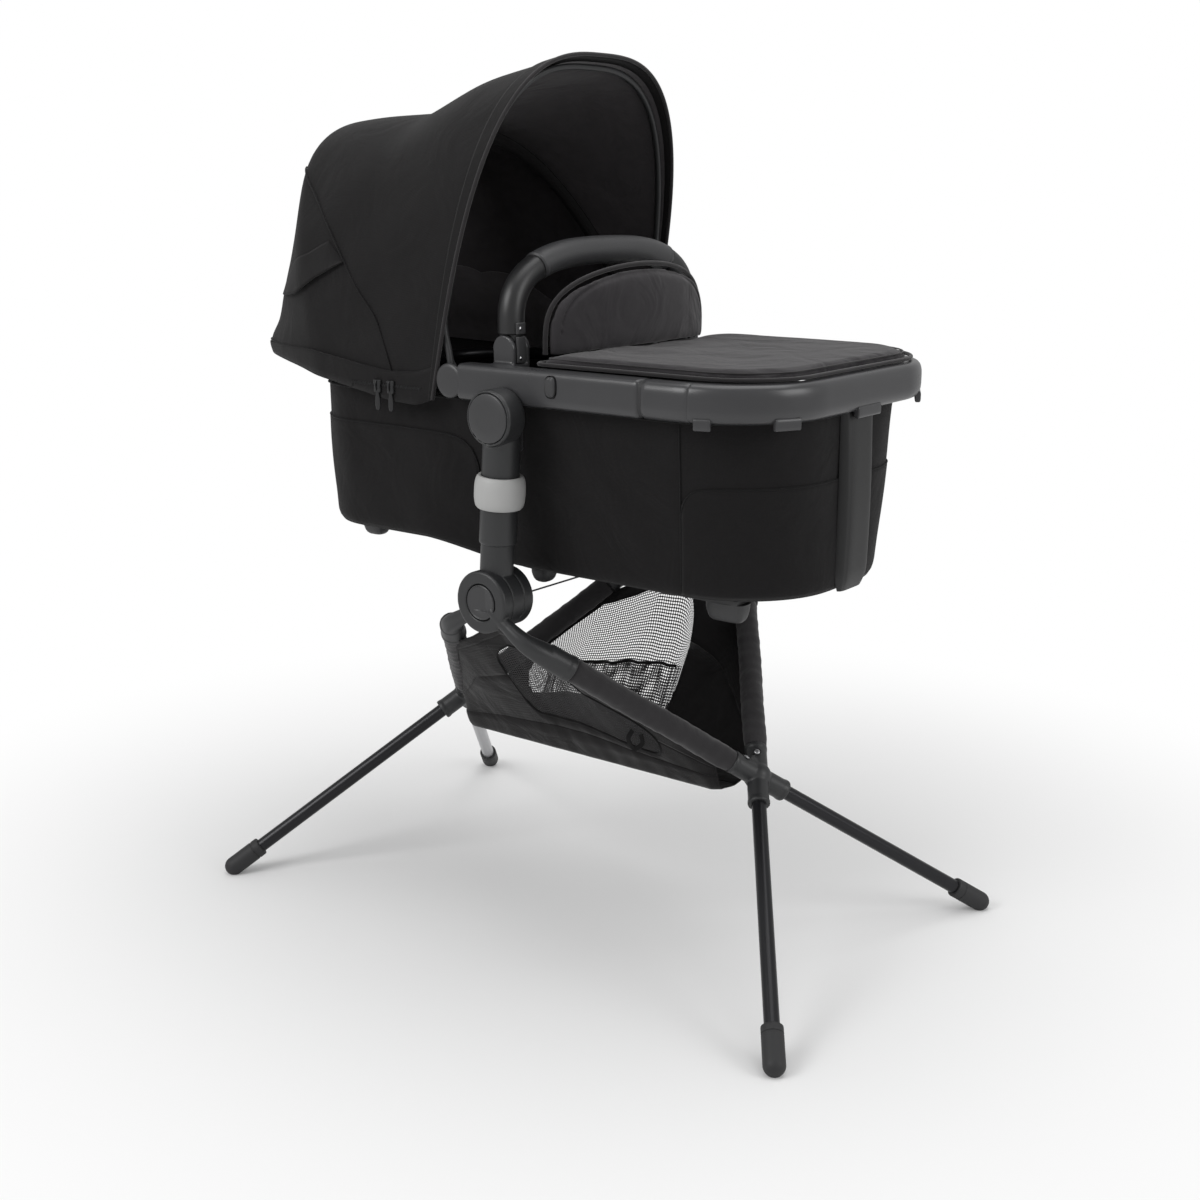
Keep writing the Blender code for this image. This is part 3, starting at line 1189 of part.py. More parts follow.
def flap():
    """Standing wind flap: an arched padded panel that bows towards the foot end."""
    bottom = RAIL_TOP + SEAT + APRON_THICKNESS + SEAT
    front, back = [], []
    count = 20
    for i in range(count + 1):
        angle = math.pi * i / count
        y = -math.cos(angle) * FLAP_HALF
        z = bottom + 0.004 + (FLAP_TOP_Z - bottom - 0.004) * abs(math.sin(angle)) ** 0.55
        lead = FLAP_BOW * (1 - (y / FLAP_HALF) ** 2)
        front.append((y, z, lead))
    rings = []
    for offset, shrink in ((0.0, 0.006), (0.3, 0.0), (0.7, 0.0), (1.0, 0.006)):
        ring = []
        for y, z, lead in front:
            out = y * (1 - shrink / FLAP_HALF)
            up = z - shrink if z > bottom + 0.02 else z
            ring.append((FLAP_X + lead + FLAP_THICKNESS * (offset - 0.5), out, up))
        for y, z, lead in reversed(front[1:-1]):
            ring.append((FLAP_X + lead + FLAP_THICKNESS * (offset - 0.5), y * (1 - shrink / FLAP_HALF), bottom))
        rings.append(ring)
    bm = loft(rings, caps=False)
    bm.verts.ensure_lookup_table()
    size = len(rings[0])
    close_across(bm, bm.verts[:size])
    close_across(bm, bm.verts[-size:])
    named(mesh_object(bm), "wind_flap", "apron")


def build():
    clear_scene()
    for name, side in SIDES.items():
        upright(name, side)
        pin_and_button(name, side)
        arm("front", name, side, FRONT_NECK_END, FRONT_CROSS, (FRONT_HEAD_Y, DRUM_OUTER_Y), FRONT_NECK_SHARES)
        arm("rear", name, side, REAR_NECK_END, REAR_CROSS, (REAR_HEAD_INNER, REAR_HEAD_OUTER), REAR_NECK_SHARES)
        leg(f"front_{name}", FRONT_CROSS, FRONT_FOOT, side)
        leg(f"rear_{name}", REAR_CROSS, REAR_FOOT, side)
        snap_button(f"front_{name}", FRONT_CROSS, FRONT_NECK_END, side)
        snap_button(f"rear_{name}", REAR_CROSS, REAR_NECK_END, side)
        rail_side(name, side)
    cross("front", FRONT_CROSS, FRONT_NECK_END, FRONT_FOOT)
    cross("rear", REAR_CROSS, REAR_NECK_END, REAR_FOOT)
    basket()
    sync_cable()
    rail_front()
    rail_head()
    handle()
    pod()
    mattress()
    base_plate()
    spine()
    hood()
    zip_slider()
    apron()
    flap()


build()
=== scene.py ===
"""Carrycot with a folding hood on a folding four-legged stand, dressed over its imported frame.

Metres, +Z up, +X towards the foot end of the carrycot, +Y to the left of a person who stands at
the head end. The file goes from the floor up: stage, legs, crosses, arms and drums, uprights,
cable, basket, rail, handle, body, mattress, apron, wind flap and hood.
"""

import math

import bpy
import numpy as np
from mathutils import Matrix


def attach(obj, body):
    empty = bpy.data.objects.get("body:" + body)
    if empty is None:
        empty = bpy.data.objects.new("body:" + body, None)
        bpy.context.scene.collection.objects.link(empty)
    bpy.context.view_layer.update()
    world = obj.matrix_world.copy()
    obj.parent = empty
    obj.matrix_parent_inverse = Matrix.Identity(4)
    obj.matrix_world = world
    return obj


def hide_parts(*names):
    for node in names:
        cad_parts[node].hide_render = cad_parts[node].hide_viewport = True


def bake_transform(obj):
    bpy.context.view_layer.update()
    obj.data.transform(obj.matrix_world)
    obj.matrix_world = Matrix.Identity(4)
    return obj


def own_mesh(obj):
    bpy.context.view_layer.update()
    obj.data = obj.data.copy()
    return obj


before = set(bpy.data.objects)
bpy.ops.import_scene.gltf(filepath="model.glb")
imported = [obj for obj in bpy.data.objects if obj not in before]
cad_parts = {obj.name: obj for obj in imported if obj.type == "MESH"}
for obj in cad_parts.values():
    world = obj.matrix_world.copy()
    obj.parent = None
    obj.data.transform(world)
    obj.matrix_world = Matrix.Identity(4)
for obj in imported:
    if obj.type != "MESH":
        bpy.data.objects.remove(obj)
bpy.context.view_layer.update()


# Stage: a pale floor that runs out to white, a white surround, and soft studio lamps above.
# The camera stands at the photograph's place, at the near side and ahead of the foot end.
camera = bpy.data.objects.new("camera", bpy.data.cameras.new("camera"))
camera.data.lens = 48.3
camera.data.sensor_width = 36.0
camera.location = (1.1931, -1.5549, 0.9092)
camera.rotation_euler = (math.radians(75.29), 0.0, math.radians(37.55))
bpy.context.scene.collection.objects.link(camera)
bpy.context.scene.camera = camera
bpy.context.scene.view_settings.view_transform = "Standard"


def node(tree, kind, inputs, **settings):
    """Add a shader node. Each input, by name or number, gets a value or the output linked to it."""
    made = tree.nodes.new("ShaderNode" + kind)
    for name, value in settings.items():
        setattr(made, name, value)
    for key, value in inputs.items():
        if isinstance(value, bpy.types.NodeSocket):
            tree.links.new(value, made.inputs[key])
        else:
            made.inputs[key].default_value = value
    return made


floor_reach = 9.0
floor_mesh = bpy.data.meshes.new("floor")
corners = [(x * floor_reach, y * floor_reach, 0.0) for x, y in ((-1, -1), (1, -1), (1, 1), (-1, 1))]
floor_mesh.from_pydata(corners, [], [(0, 1, 2, 3)])
floor = bpy.data.objects.new("floor", floor_mesh)
bpy.context.scene.collection.objects.link(floor)
floor_paint = bpy.data.materials.new("floor_paint")
floor_paint.use_nodes = True
tree = floor_paint.node_tree
tree.nodes.clear()
distance = node(tree, "VectorMath", {0: node(tree, "TexCoord", {}).outputs["Object"]}, operation="LENGTH")
fade = node(tree, "MapRange", {"From Min": 0.35, "From Max": 1.25, "Value": distance.outputs["Value"]},
            interpolation_type="SMOOTHSTEP")
seen = node(tree, "LightPath", {}).outputs["Is Camera Ray"]
share = node(tree, "Math", {0: fade.outputs["Result"], 1: seen}, operation="MULTIPLY")
matt = node(tree, "BsdfDiffuse", {"Color": (0.80, 0.80, 0.80, 1.0)})
white = node(tree, "Emission", {})
mixed = node(tree, "MixShader", {"Fac": share.outputs[0], 1: matt.outputs[0], 2: white.outputs[0]})
node(tree, "OutputMaterial", {"Surface": mixed.outputs[0]})
floor_mesh.materials.append(floor_paint)

surround = bpy.data.worlds.new("surround")
bpy.context.scene.world = surround
surround.use_nodes = True
tree = surround.node_tree
tree.nodes.clear()
seen = node(tree, "LightPath", {}).outputs["Is Camera Ray"]
room = node(tree, "Background", {"Color": (1.0, 1.0, 1.0, 1.0), "Strength": 0.55})
backdrop = node(tree, "Background", {"Color": (1.0, 1.0, 1.0, 1.0)})
mixed = node(tree, "MixShader", {"Fac": seen, 1: room.outputs[0], 2: backdrop.outputs[0]})
node(tree, "OutputWorld", {"Surface": mixed.outputs[0]})


def lamp(name, place, aim, size, power):
    """A square soft lamp at a place, turned to shine at an aim point."""
    light = bpy.data.lights.new(name, "AREA")
    light.size = size
    light.energy = power
    stand = bpy.data.objects.new(name, light)
    stand.location = place
    direction = np.array(aim) - np.array(place)
    across = math.hypot(direction[0], direction[1])
    turn = math.atan2(direction[0], -direction[1]) + math.pi
    stand.rotation_euler = (math.atan2(across, -direction[2]), 0.0, turn)
    bpy.context.scene.collection.objects.link(stand)


lamp("key_lamp", (-0.9, -2.6, 2.3), (0.0, 0.0, 0.6), 1.6, 46.0)
lamp("side_lamp", (2.9, 0.4, 1.7), (0.0, 0.0, 0.6), 1.5, 26.0)
lamp("top_lamp", (0.2, 0.3, 3.0), (0.0, 0.0, 0.5), 2.2, 30.0)


# Legs: black anodised aluminium tube, pushed into the crosses. The rear left one is painted silver: a painted
# reflection of the light along that black tube.
# Each ends in a domed rubber foot with a thin ring at its mouth, flat where it meets the floor.
front_cross = np.array([0.236, 0.0, 0.214])
rear_cross = np.array([-0.232, 0.0, 0.228])
foot_radius, foot_length, foot_flat, sole = 0.0125, 0.057, 0.0070, 0.0145
foot_height = math.sqrt(foot_radius ** 2 - foot_flat ** 2)
front_foot = np.array([0.420, 0.250, foot_height])
rear_foot = np.array([-0.424, 0.261, foot_height])
leg_radius = 0.0088
sides = {"right": -1.0, "left": 1.0}


def to_side(point, side):
    """A point given outward from the middle plane, put on one side of it."""
    return np.array(point, float) * (1.0, side, 1.0)


def unit(vector):
    """A vector divided by its length."""
    return vector / np.linalg.norm(vector)


def units(vectors):
    """Each vector of an array divided by its length."""
    return vectors / np.linalg.norm(vectors, axis=-1, keepdims=True)


def distances(points):
    """Running distance along a line of points."""
    return np.concatenate([[0.0], np.linalg.norm(np.diff(points, axis=0), axis=1).cumsum()])


def evaluated(piece):
    """The mesh that a piece's modifiers make of it, as it stands now."""
    graph = bpy.context.evaluated_depsgraph_get()
    return bpy.data.meshes.new_from_object(piece.evaluated_get(graph))


def baked(piece):
    """Turn a piece's modifiers into its mesh."""
    bpy.context.view_layer.update()
    piece.data = evaluated(piece)
    piece.modifiers.clear()


def thickened(piece, thickness, offset=0.0):
    """Give a sheet its thickness, on both sides of its middle unless an offset says otherwise."""
    cloth = piece.modifiers.new("cloth", "SOLIDIFY")
    cloth.thickness, cloth.offset = thickness, offset
    return piece


AXIS = 0.0004   # radius of a form's closed ends: a point would leave faces without area


def plug(rows):
    """Profile rows with one more at both ends near the axis, which closes the form."""
    return [(AXIS, rows[0][1])] + list(rows) + [(AXIS, rows[-1][1])]


def turned(profile, start, axis, around=56):
    """Grid of a turned form: every profile row (radius, height) becomes a circle of points.

    A point is start + axis * height + radius * (cos angle * first + sin angle * second).
    """
    axis = unit(np.array(axis, float))
    first = unit(np.cross(axis, (0.0, 0.0, 1.0) if abs(axis[2]) < 0.9 else (1.0, 0.0, 0.0)))
    second = np.cross(axis, first)
    angle = np.linspace(0.0, math.tau, around, endpoint=False)
    circle = np.cos(angle)[:, None] * first + np.sin(angle)[:, None] * second
    rows = np.array(profile, float)
    return np.array(start) + rows[:, 1, None, None] * axis + rows[:, 0, None, None] * circle


def surface(name, *parts, smooth=40):
    """One mesh from grids of points, each a tuple (grid, closed): faces join neighbours on a grid.

    A closed grid wraps round on its second index, and its two end rows get one flat face each. A
    grid marked "ring" wraps round on both.
    The map "cloth" holds each point's distance in metres along the rows and along the columns.
    """
    points, faces, places, start = [], [], [], 0
    for grid, closed in parts:
        rows, columns = grid.shape[:2]
        ring = closed == "ring"
        i = np.arange(rows if ring else rows - 1)[:, None]
        j = np.arange(columns if closed else columns - 1)[None, :]
        after, below = (j + 1) % columns, (i + 1) % rows
        corners = np.stack([i * columns + j, i * columns + after, below * columns + after,
                            below * columns + j], -1)
        quads = corners.reshape(-1, 4)
        flat = grid.reshape(-1, 3)
        if closed:
            a, b, c, d = (flat[quads[:, k]] for k in range(4))
            outside = (a * np.cross(b, c)).sum() + (a * np.cross(c, d)).sum()
            for end, sign in ((flat[:columns], -1.0), (flat[-columns:], 1.0)):
                outside += 0.0 if ring else sign * (end[0] * np.cross(end[1:-1], end[2:])).sum()
        else:
            outside = 1.0
        tall = np.concatenate([grid, grid[:1]]) if ring else grid
        along = np.concatenate([[0.0], np.linalg.norm(np.diff(tall, axis=0), axis=2).mean(1).cumsum()])
        wrapped = np.concatenate([grid, grid[:, :1]], 1) if closed else grid
        across = np.concatenate([[0.0], np.linalg.norm(np.diff(wrapped, axis=1), axis=2).mean(0).cumsum()])
        low, high, near, far = (table[np.broadcast_to(index, corners.shape[:2])] for table, index in
                                ((along, i), (along, i + 1), (across, j), (across, j + 1)))
        pairs = (low, near), (low, far), (high, far), (high, near)
        quad_places = np.stack([np.stack(pair, -1) for pair in pairs], 2).reshape(-1, 4, 2)
        caps = [list(range(columns - 1, -1, -1)), list(range((rows - 1) * columns, rows * columns))]
        caps = caps if closed and not ring else []
        if outside < 0:
            quads, quad_places = quads[:, ::-1], quad_places[:, ::-1]
            caps = [cap[::-1] for cap in caps]
        faces += (quads + start).tolist() + [[k + start for k in cap] for cap in caps]
        places.append(quad_places.reshape(-1, 2))
        places += [flat[cap][:, :2] for cap in caps]
        points.append(flat)
        start += len(flat)
    mesh = bpy.data.meshes.new(name)
    mesh.from_pydata(np.concatenate(points).tolist(), [], faces)
    own_map = mesh.uv_layers.new(name="cloth")
    own_map.data.foreach_set("uv", np.concatenate(places).astype(np.float32).ravel())
    mesh.shade_smooth()
    mesh.set_sharp_from_angle(angle=math.radians(smooth))
    piece = bpy.data.objects.new(name, mesh)
    bpy.context.scene.collection.objects.link(piece)
    return piece


def fit(piece, body, finish, slot, *nodes):
    """Give a piece its finish and its body, and hide the solids that it stands for."""
    piece.data.materials.append(finish)
    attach(piece, body)
    if nodes:
        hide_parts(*nodes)
    return piece


def solid(name, grids, body, finish, slot, *nodes, smooth=40):
    """A fitted piece made from one closed grid or a list of them."""
    grids = grids if isinstance(grids, list) else [grids]
    return fit(surface(name, *[(grid, True) for grid in grids], smooth=smooth), body, finish, slot, *nodes)


def about_y(rows, centre, side, around):
    """A turned form on an axis along Y through a centre, built outward from the middle plane."""
    return turned(rows, (centre[0], 0, centre[2]), (0, side, 0), around)


def new_finish(name, inputs):
    """A new material with its node tree and its shader, whose inputs are set."""
    finish = bpy.data.materials.new(name)
    finish.use_nodes = True
    shader = finish.node_tree.nodes["Principled BSDF"]
    for key, value in inputs.items():
        shader.inputs[key].default_value = value
    return finish, finish.node_tree, shader


def tinted(tree, shader, cloud, colour, drift):
    """Let the colour drift up and down by a share of itself, as a cloud texture says."""
    low, high = ((*[c * (1.0 + sign * drift) for c in colour], 1.0) for sign in (-1, 1))
    tint = node(tree, "Mix", {"A": low, "B": high, "Factor": cloud}, data_type="RGBA")
    tree.links.new(tint.outputs["Result"], shader.inputs["Base Color"])


def hard_finish(name, colour, roughness, metallic=0.0, grain=0.0006, depth=0.05, wear=0.02, coat=0.0):
    """Moulded, painted or anodised surface: fine grain in its bump, faint mottling, slight wear."""
    finish, tree, shader = new_finish(name, {"Metallic": metallic, "Coat Weight": coat,
                                             "Coat Roughness": 0.25})
    place = node(tree, "TexCoord", {}).outputs["Object"]
    cloud = node(tree, "TexNoise", {"Scale": 24.0, "Detail": 4.0, "Vector": place}).outputs["Fac"]
    tinted(tree, shader, cloud, colour, wear * 4)
    gloss = node(tree, "MapRange", {"From Min": 0.3, "From Max": 0.7, "To Min": roughness - wear,
                                    "To Max": roughness + wear, "Value": cloud})
    fine = node(tree, "TexNoise", {"Scale": 1.0 / grain, "Detail": 2.0, "Vector": place})
    bump = node(tree, "Bump", {"Strength": depth, "Distance": grain, "Height": fine.outputs["Fac"]})
    tree.links.new(gloss.outputs["Result"], shader.inputs["Roughness"])
    tree.links.new(bump.outputs["Normal"], shader.inputs["Normal"])
    return finish


black_anodised = hard_finish("black_anodised", (0.016, 0.016, 0.018), 0.30, metallic=0.55, depth=0.03)
silver_anodised = hard_finish("silver_anodised", (0.42, 0.42, 0.43), 0.34, metallic=0.9, depth=0.03)
foot_rubber = hard_finish("foot_rubber", (0.014, 0.014, 0.015), 0.62, grain=0.0009, depth=0.12)


def rows_between(radius, start, end, count=2):
    """Profile rows of one radius between two heights."""
    return [(radius, height) for height in np.linspace(start, end, count)]


socket_reach, cross_body, leg_insert, seat = 0.042, 0.0170, 0.023, 0.0003
for kind, centre, foot in (("front", front_cross, front_foot), ("rear", rear_cross, rear_foot)):
    for name, side in sides.items():
        dome_centre = to_side(foot, side)
        down = unit(dome_centre - centre)
        start = centre + down * (socket_reach - leg_insert + seat)
        tip = dome_centre + down * foot_radius
        length = np.linalg.norm(tip - start) - sole
        # The rear left tube gets the silver finish as a painted reflection; it stands for light on a black tube
        # like the others.
        reflection_painted = (kind, name) == ("rear", "left")
        tube = turned([(leg_radius - 0.0006, 0.0)] + rows_between(leg_radius, 0.0006, length - 0.0006, 6)
                      + [(leg_radius - 0.0006, length)], start, down)
        solid(f"tube_{kind}_{name}", tube, f"{kind}_leg_{name}", silver_anodised if reflection_painted else black_anodised,
              "silver" if reflection_painted else "anodised", f"leg_{kind}_{name}")
        angle = np.linspace(0.0, math.pi / 2, 14)[:-1]
        dome = [(foot_radius * math.cos(a), foot_radius * (1.0 - math.sin(a))) for a in angle]
        ring = foot_length - 0.010
        profile = [(leg_radius + 0.0002, foot_length), (foot_radius - 0.0012, foot_length),
                   (foot_radius - 0.0002, foot_length - 0.0009)] \
            + rows_between(foot_radius, foot_length - 0.0022, ring + 0.0012, 3) \
            + [(foot_radius - 0.0007, ring + 0.0006), (foot_radius - 0.0007, ring - 0.0006)] \
            + rows_between(foot_radius, ring - 0.0012, foot_radius + 0.002, 5) + dome + [(AXIS, 0.0)]
        cap = turned(profile, tip, -down)
        cap[..., 2] = np.maximum(cap[..., 2], 0.0)
        solid(f"rubber_foot_{kind}_{name}", cap, f"{kind}_leg_{name}", foot_rubber, "rubber",
              f"foot_{kind}_{name}")


# Crosses: glass-filled nylon mouldings on the middle plane, one in front and one behind. Two
# sockets take the arms from above, each with a spring button in its wall, and two hold the legs.
moulded_black = hard_finish("moulded_black", (0.0165, 0.017, 0.018), 0.44, grain=0.0007, depth=0.10)
front_neck_end = np.array([0.0836, 0.2040, 0.3830])
rear_neck_end = np.array([-0.0934, 0.1752, 0.3850])
leg_socket_radius, arm_socket_radius, arm_radius, snap_radius = 0.0128, 0.0134, 0.0100, 0.0036


def cast(piece, voxel=0.0012, rounds=5):
    """Melt overlapping forms into one moulding with filleted joins: voxel remesh, then smooth."""
    melt = piece.modifiers.new("melt", "REMESH")
    melt.mode = "VOXEL"
    melt.voxel_size = voxel
    melt.use_smooth_shade = True
    ease = piece.modifiers.new("ease", "SMOOTH")
    ease.factor = 0.5
    ease.iterations = rounds
    return piece


def barrel(radius, length, lip=0.0007, lip_length=0.006):
    """Profile of a socket: a plain barrel with a slightly wider lip round its mouth."""
    return [(AXIS, 0.0), (radius, 0.0)] + rows_between(radius, 0.001, length - lip_length, 4) \
        + rows_between(radius + lip, length - lip_length + 0.0008, length - 0.0008, 2) \
        + [(radius + lip - 0.0007, length), (AXIS, length)]


for kind, centre, neck_end, foot in (("front", front_cross, front_neck_end, front_foot),
                                     ("rear", rear_cross, rear_neck_end, rear_foot)):
    angle = np.linspace(0.0, math.pi, 20)
    ball = [(max(cross_body * math.sin(a), 0.0004), -cross_body * math.cos(a)) for a in angle]
    forms = [turned(ball, centre, (0, 0, 1), 32)]
    middle = unit(to_side(neck_end, 1.0) + to_side(neck_end, -1.0) - 2 * centre)
    forms.append(turned([(0.0115, 0.0), (0.0115, 0.0225), (0.0105, 0.0235), (AXIS, 0.0235)], centre, middle,
                        32))
    for name, side in sides.items():
        up = unit(to_side(neck_end, side) - centre)
        down = unit(to_side(foot, side) - centre)
        forms.append(turned(barrel(arm_socket_radius, socket_reach), centre, up, 36))
        forms.append(turned(barrel(leg_socket_radius, socket_reach), centre, down, 36))
    cast(solid(f"cross_moulding_{kind}", forms, f"{kind}_frame", moulded_black, "frame", f"{kind}_cross"),
         0.0011, 4)
    for name, side in sides.items():
        up = unit(to_side(neck_end, side) - centre)
        outward = np.array([math.copysign(0.6, centre[0]), -side * 0.78, 0.25])
        outward = unit(outward - up * outward.dot(up))
        place = centre + up * 0.026 + outward * (arm_radius + 0.0026)
        button = [(AXIS, 0.0), (snap_radius, 0.0), (snap_radius, 0.0012)]
        button += [(snap_radius * math.cos(a), 0.0012 + 0.0014 * math.sin(a))
                   for a in np.linspace(0.1, 1.5, 8)]
        solid(f"snap_{kind}_{name}", turned(button, place, outward, 28), f"{kind}_snap_{name}",
              silver_anodised, "silver", f"snap_button_{kind}_{name}")
        lip = [(snap_radius + 0.0006, 0.0), (snap_radius + 0.0021, 0.0),
               (snap_radius + 0.0018, 0.0009), (snap_radius + 0.0007, 0.0009)]
        ring = surface(f"snap_ring_{kind}_{name}", (turned(
            lip, centre + up * 0.026 + outward * (arm_socket_radius - 0.0004), outward, 28), "ring"))
        fit(ring, f"{kind}_frame", moulded_black, "frame")


# Arms: each starts as a moulded head in the fold drum, bends out of it as a flattened neck, and
# holds an aluminium tube in its socket. A sewn sleeve of the basket's cloth covers the tube.
drum = np.array([0.011, 0.0, 0.443])
drum_radius, drum_outer = 0.0363, 0.240
front_head_width, post_hub_width, rear_head_width = 0.0160, 0.0200, 0.0164
button_radius, neck_radius = 0.0205, 0.0150


def curve_through(points, count):
    """Smooth path through points: cubic Hermite pieces over the running distance between them."""
    points = np.array(points, float)
    reach = distances(points)
    slope = np.gradient(points, reach, axis=0)
    where = np.linspace(0.0, reach[-1], count)
    k = np.clip(np.searchsorted(reach, where, side="right") - 1, 0, len(points) - 2)
    span = (reach[k + 1] - reach[k])[:, None]
    t = ((where - reach[k])[:, None]) / span
    return (points[k] * (2 * t ** 3 - 3 * t ** 2 + 1) + slope[k] * span * (t ** 3 - 2 * t ** 2 + t)
            + points[k + 1] * (3 * t ** 2 - 2 * t ** 3) + slope[k + 1] * span * (t ** 3 - t ** 2))


def carried(path, width, height, up=(0.0, 0.0, 1.0), power=2.0, around=24):
    """Grid of a bar: a section |x/a|^p + |y/b|^p = 1 is carried along a path.

    Its x axis is up crossed with the path's direction, and width and height may change on the way.
    """
    path = np.array(path, float)
    ahead = units(np.gradient(path, axis=0))
    across = units(np.cross(np.broadcast_to(up, path.shape), ahead))
    rise = np.cross(ahead, across)
    angle = np.linspace(0.0, math.tau, around, endpoint=False)
    x = np.sign(np.cos(angle)) * np.abs(np.cos(angle)) ** (2 / power) / 2
    y = np.sign(np.sin(angle)) * np.abs(np.sin(angle)) ** (2 / power) / 2
    width = np.broadcast_to(width, len(path))[:, None, None]
    height = np.broadcast_to(height, len(path))[:, None, None]
    return path[:, None] + across[:, None] * x[:, None] * width + rise[:, None] * y[:, None] * height


def cloth_finish(name, colour, thread=0.0009, sheen=0.25, depth=0.35, crease=0.0, lie=None):
    """Woven cloth: warp and weft waves on the piece's own map, faint colour drift and soft nap.

    A cloth that lies in a plane may name its two axes instead, such as "XY".
    """
    finish, tree, shader = new_finish(name, {"Roughness": 0.92, "Specular IOR Level": 0.25,
                                             "Sheen Weight": sheen, "Sheen Roughness": 0.45})
    place = node(tree, "TexCoord", {}).outputs["Object"]
    own_map = node(tree, "UVMap", {}, uv_map="cloth").outputs["UV"]
    warp, weft = (node(tree, "TexWave", {"Scale": math.pi / (thread * 20.0), "Distortion": 0.6, "Detail": 1.0,
                                         "Vector": place if lie else own_map},
                       bands_direction=axis).outputs["Fac"]
                  for axis in lie or "XY")
    crossing = node(tree, "Math", {0: warp, 1: weft}, operation="MAXIMUM")
    cloud = node(tree, "TexNoise", {"Scale": 60.0, "Detail": 6.0, "Vector": place})
    tinted(tree, shader, cloud.outputs["Fac"], colour, 0.18)
    bump = node(tree, "Bump", {"Strength": depth, "Distance": thread * 0.5, "Height": crossing.outputs[0]})
    folds = node(tree, "TexNoise", {"Scale": 14.0, "Detail": 3.0, "Distortion": 1.2, "Vector": place})
    wrinkle = node(tree, "Bump", {"Strength": crease, "Distance": 0.01, "Height": folds.outputs["Fac"],
                                  "Normal": bump.outputs["Normal"]})
    tree.links.new(wrinkle.outputs["Normal"], shader.inputs["Normal"])
    return finish


arm_cloth = cloth_finish("arm_cloth", (0.026, 0.0245, 0.026), crease=0.35)
front_head_inner = drum_outer - front_head_width
post_hub_outer = front_head_inner - seat
rear_head_outer = post_hub_outer - post_hub_width - seat
# Rows of a neck: shares of the way from the drum to its end along X, Y and Z, and its radius as a
# share of its socket's.
arms = {
    "front": dict(
        neck_end=front_neck_end, cross=front_cross, span=(front_head_inner, drum_outer), radius=drum_radius,
        rows=[(0.15, 0.0, 0.14, 0.52), (0.48, 0.0, 0.42, 0.52), (0.78, 0.20, 0.70, 0.72),
              (0.93, 0.60, 0.87, 0.86), (1.03, 1.10, 1.04, 0.93)]),
    "rear": dict(
        neck_end=rear_neck_end, cross=rear_cross, span=(rear_head_outer - rear_head_width, rear_head_outer),
        radius=drum_radius - 0.0015,
        rows=[(0.17, 0.0, 0.16, 0.55), (0.60, 0.05, 0.58, 0.58), (0.88, 0.40, 0.86, 0.76),
              (1.03, 1.15, 1.04, 0.93)]),
}
for kind, arm in arms.items():
    for name, side in sides.items():
        low, high = arm["span"]
        middle = (low + high) / 2
        radius = arm["radius"]
        head = [(AXIS, low), (radius - 0.0006, low), (radius, low + 0.0006), (radius, high - 0.003),
                (radius - 0.0009, high - 0.0009), (radius - 0.003, high)]
        if kind == "front":
            head += [(button_radius + 0.0030, high), (button_radius + 0.0012, high - 0.0006),
                     (button_radius + 0.0006, high - 0.0065), (AXIS, high - 0.0065)]
        else:
            head += [(AXIS, high)]
        end = to_side(arm["neck_end"], side)
        run = unit(arm["cross"] - end)
        rows = np.array(arm["rows"])
        root = np.array((drum[0], side * middle, drum[2]))
        points = root + rows[:, :3] * (end - root)
        path = curve_through(points, 40)
        reach = distances(points)
        radii = np.interp(np.linspace(0.0, reach[-1], 40), reach, rows[:, 3]) * neck_radius
        neck = carried(path, 2.06 * radii, 1.94 * radii, up=np.cross(path[-1] - path[0], (0, 1, 0)),
                       power=2.3, around=32)
        sleeve_mouth = turned(plug([(0.0138, -0.006), (0.0150, -0.0045), (0.0150, 0.0215), (0.0158, 0.0225),
                                    (0.0158, 0.0290), (0.0150, 0.0300)]), end, run, 36)
        body = cast(surface(f"{kind}_head_{name}", (about_y(head, drum, side, 72), True),
                            (neck, True), (sleeve_mouth, True)), 0.0010, 3)
        fit(body, f"{kind}_frame", moulded_black, "frame", f"{kind}_arm_head_{name}")
        start = end + run * 0.0103
        reach = np.linalg.norm(arm["cross"] - start) - cross_body - 0.0020 - seat
        tube = turned([(arm_radius, 0.0), (arm_radius, reach)], start, run)
        solid(f"{kind}_tube_{name}", tube, f"{kind}_frame", black_anodised, "anodised", f"{kind}_arm_tube_{name}")
        first, last = end + run * 0.0303, arm["cross"] - run * (socket_reach + seat)
        length = np.linalg.norm(last - first)
        heights = np.linspace(0.0, length, 90)
        sag = 0.0004 * np.sin(heights * 310.0) * np.sin(heights * 97.0 + 1.3)
        radii = 0.0142 + sag
        for from_end in (heights, length - heights):
            radii = radii - 0.0012 * np.exp(-from_end / 0.003)
        cover = turned(np.stack([radii, heights], 1), first, run, 48)
        angle = np.linspace(0.0, math.tau, 48, endpoint=False)
        pinch = 0.0004 * np.sin(3 * angle[None, :] + heights[:, None] * 45.0)
        centre_line = (first + heights[:, None] * run)[:, None]
        cover = centre_line + (cover - centre_line) * (1.0 + pinch[..., None] / 0.0145)
        solid(f"{kind}_cover_{name}", cover, f"{kind}_frame", arm_cloth, "fabric", f"{kind}_arm_cover_{name}")


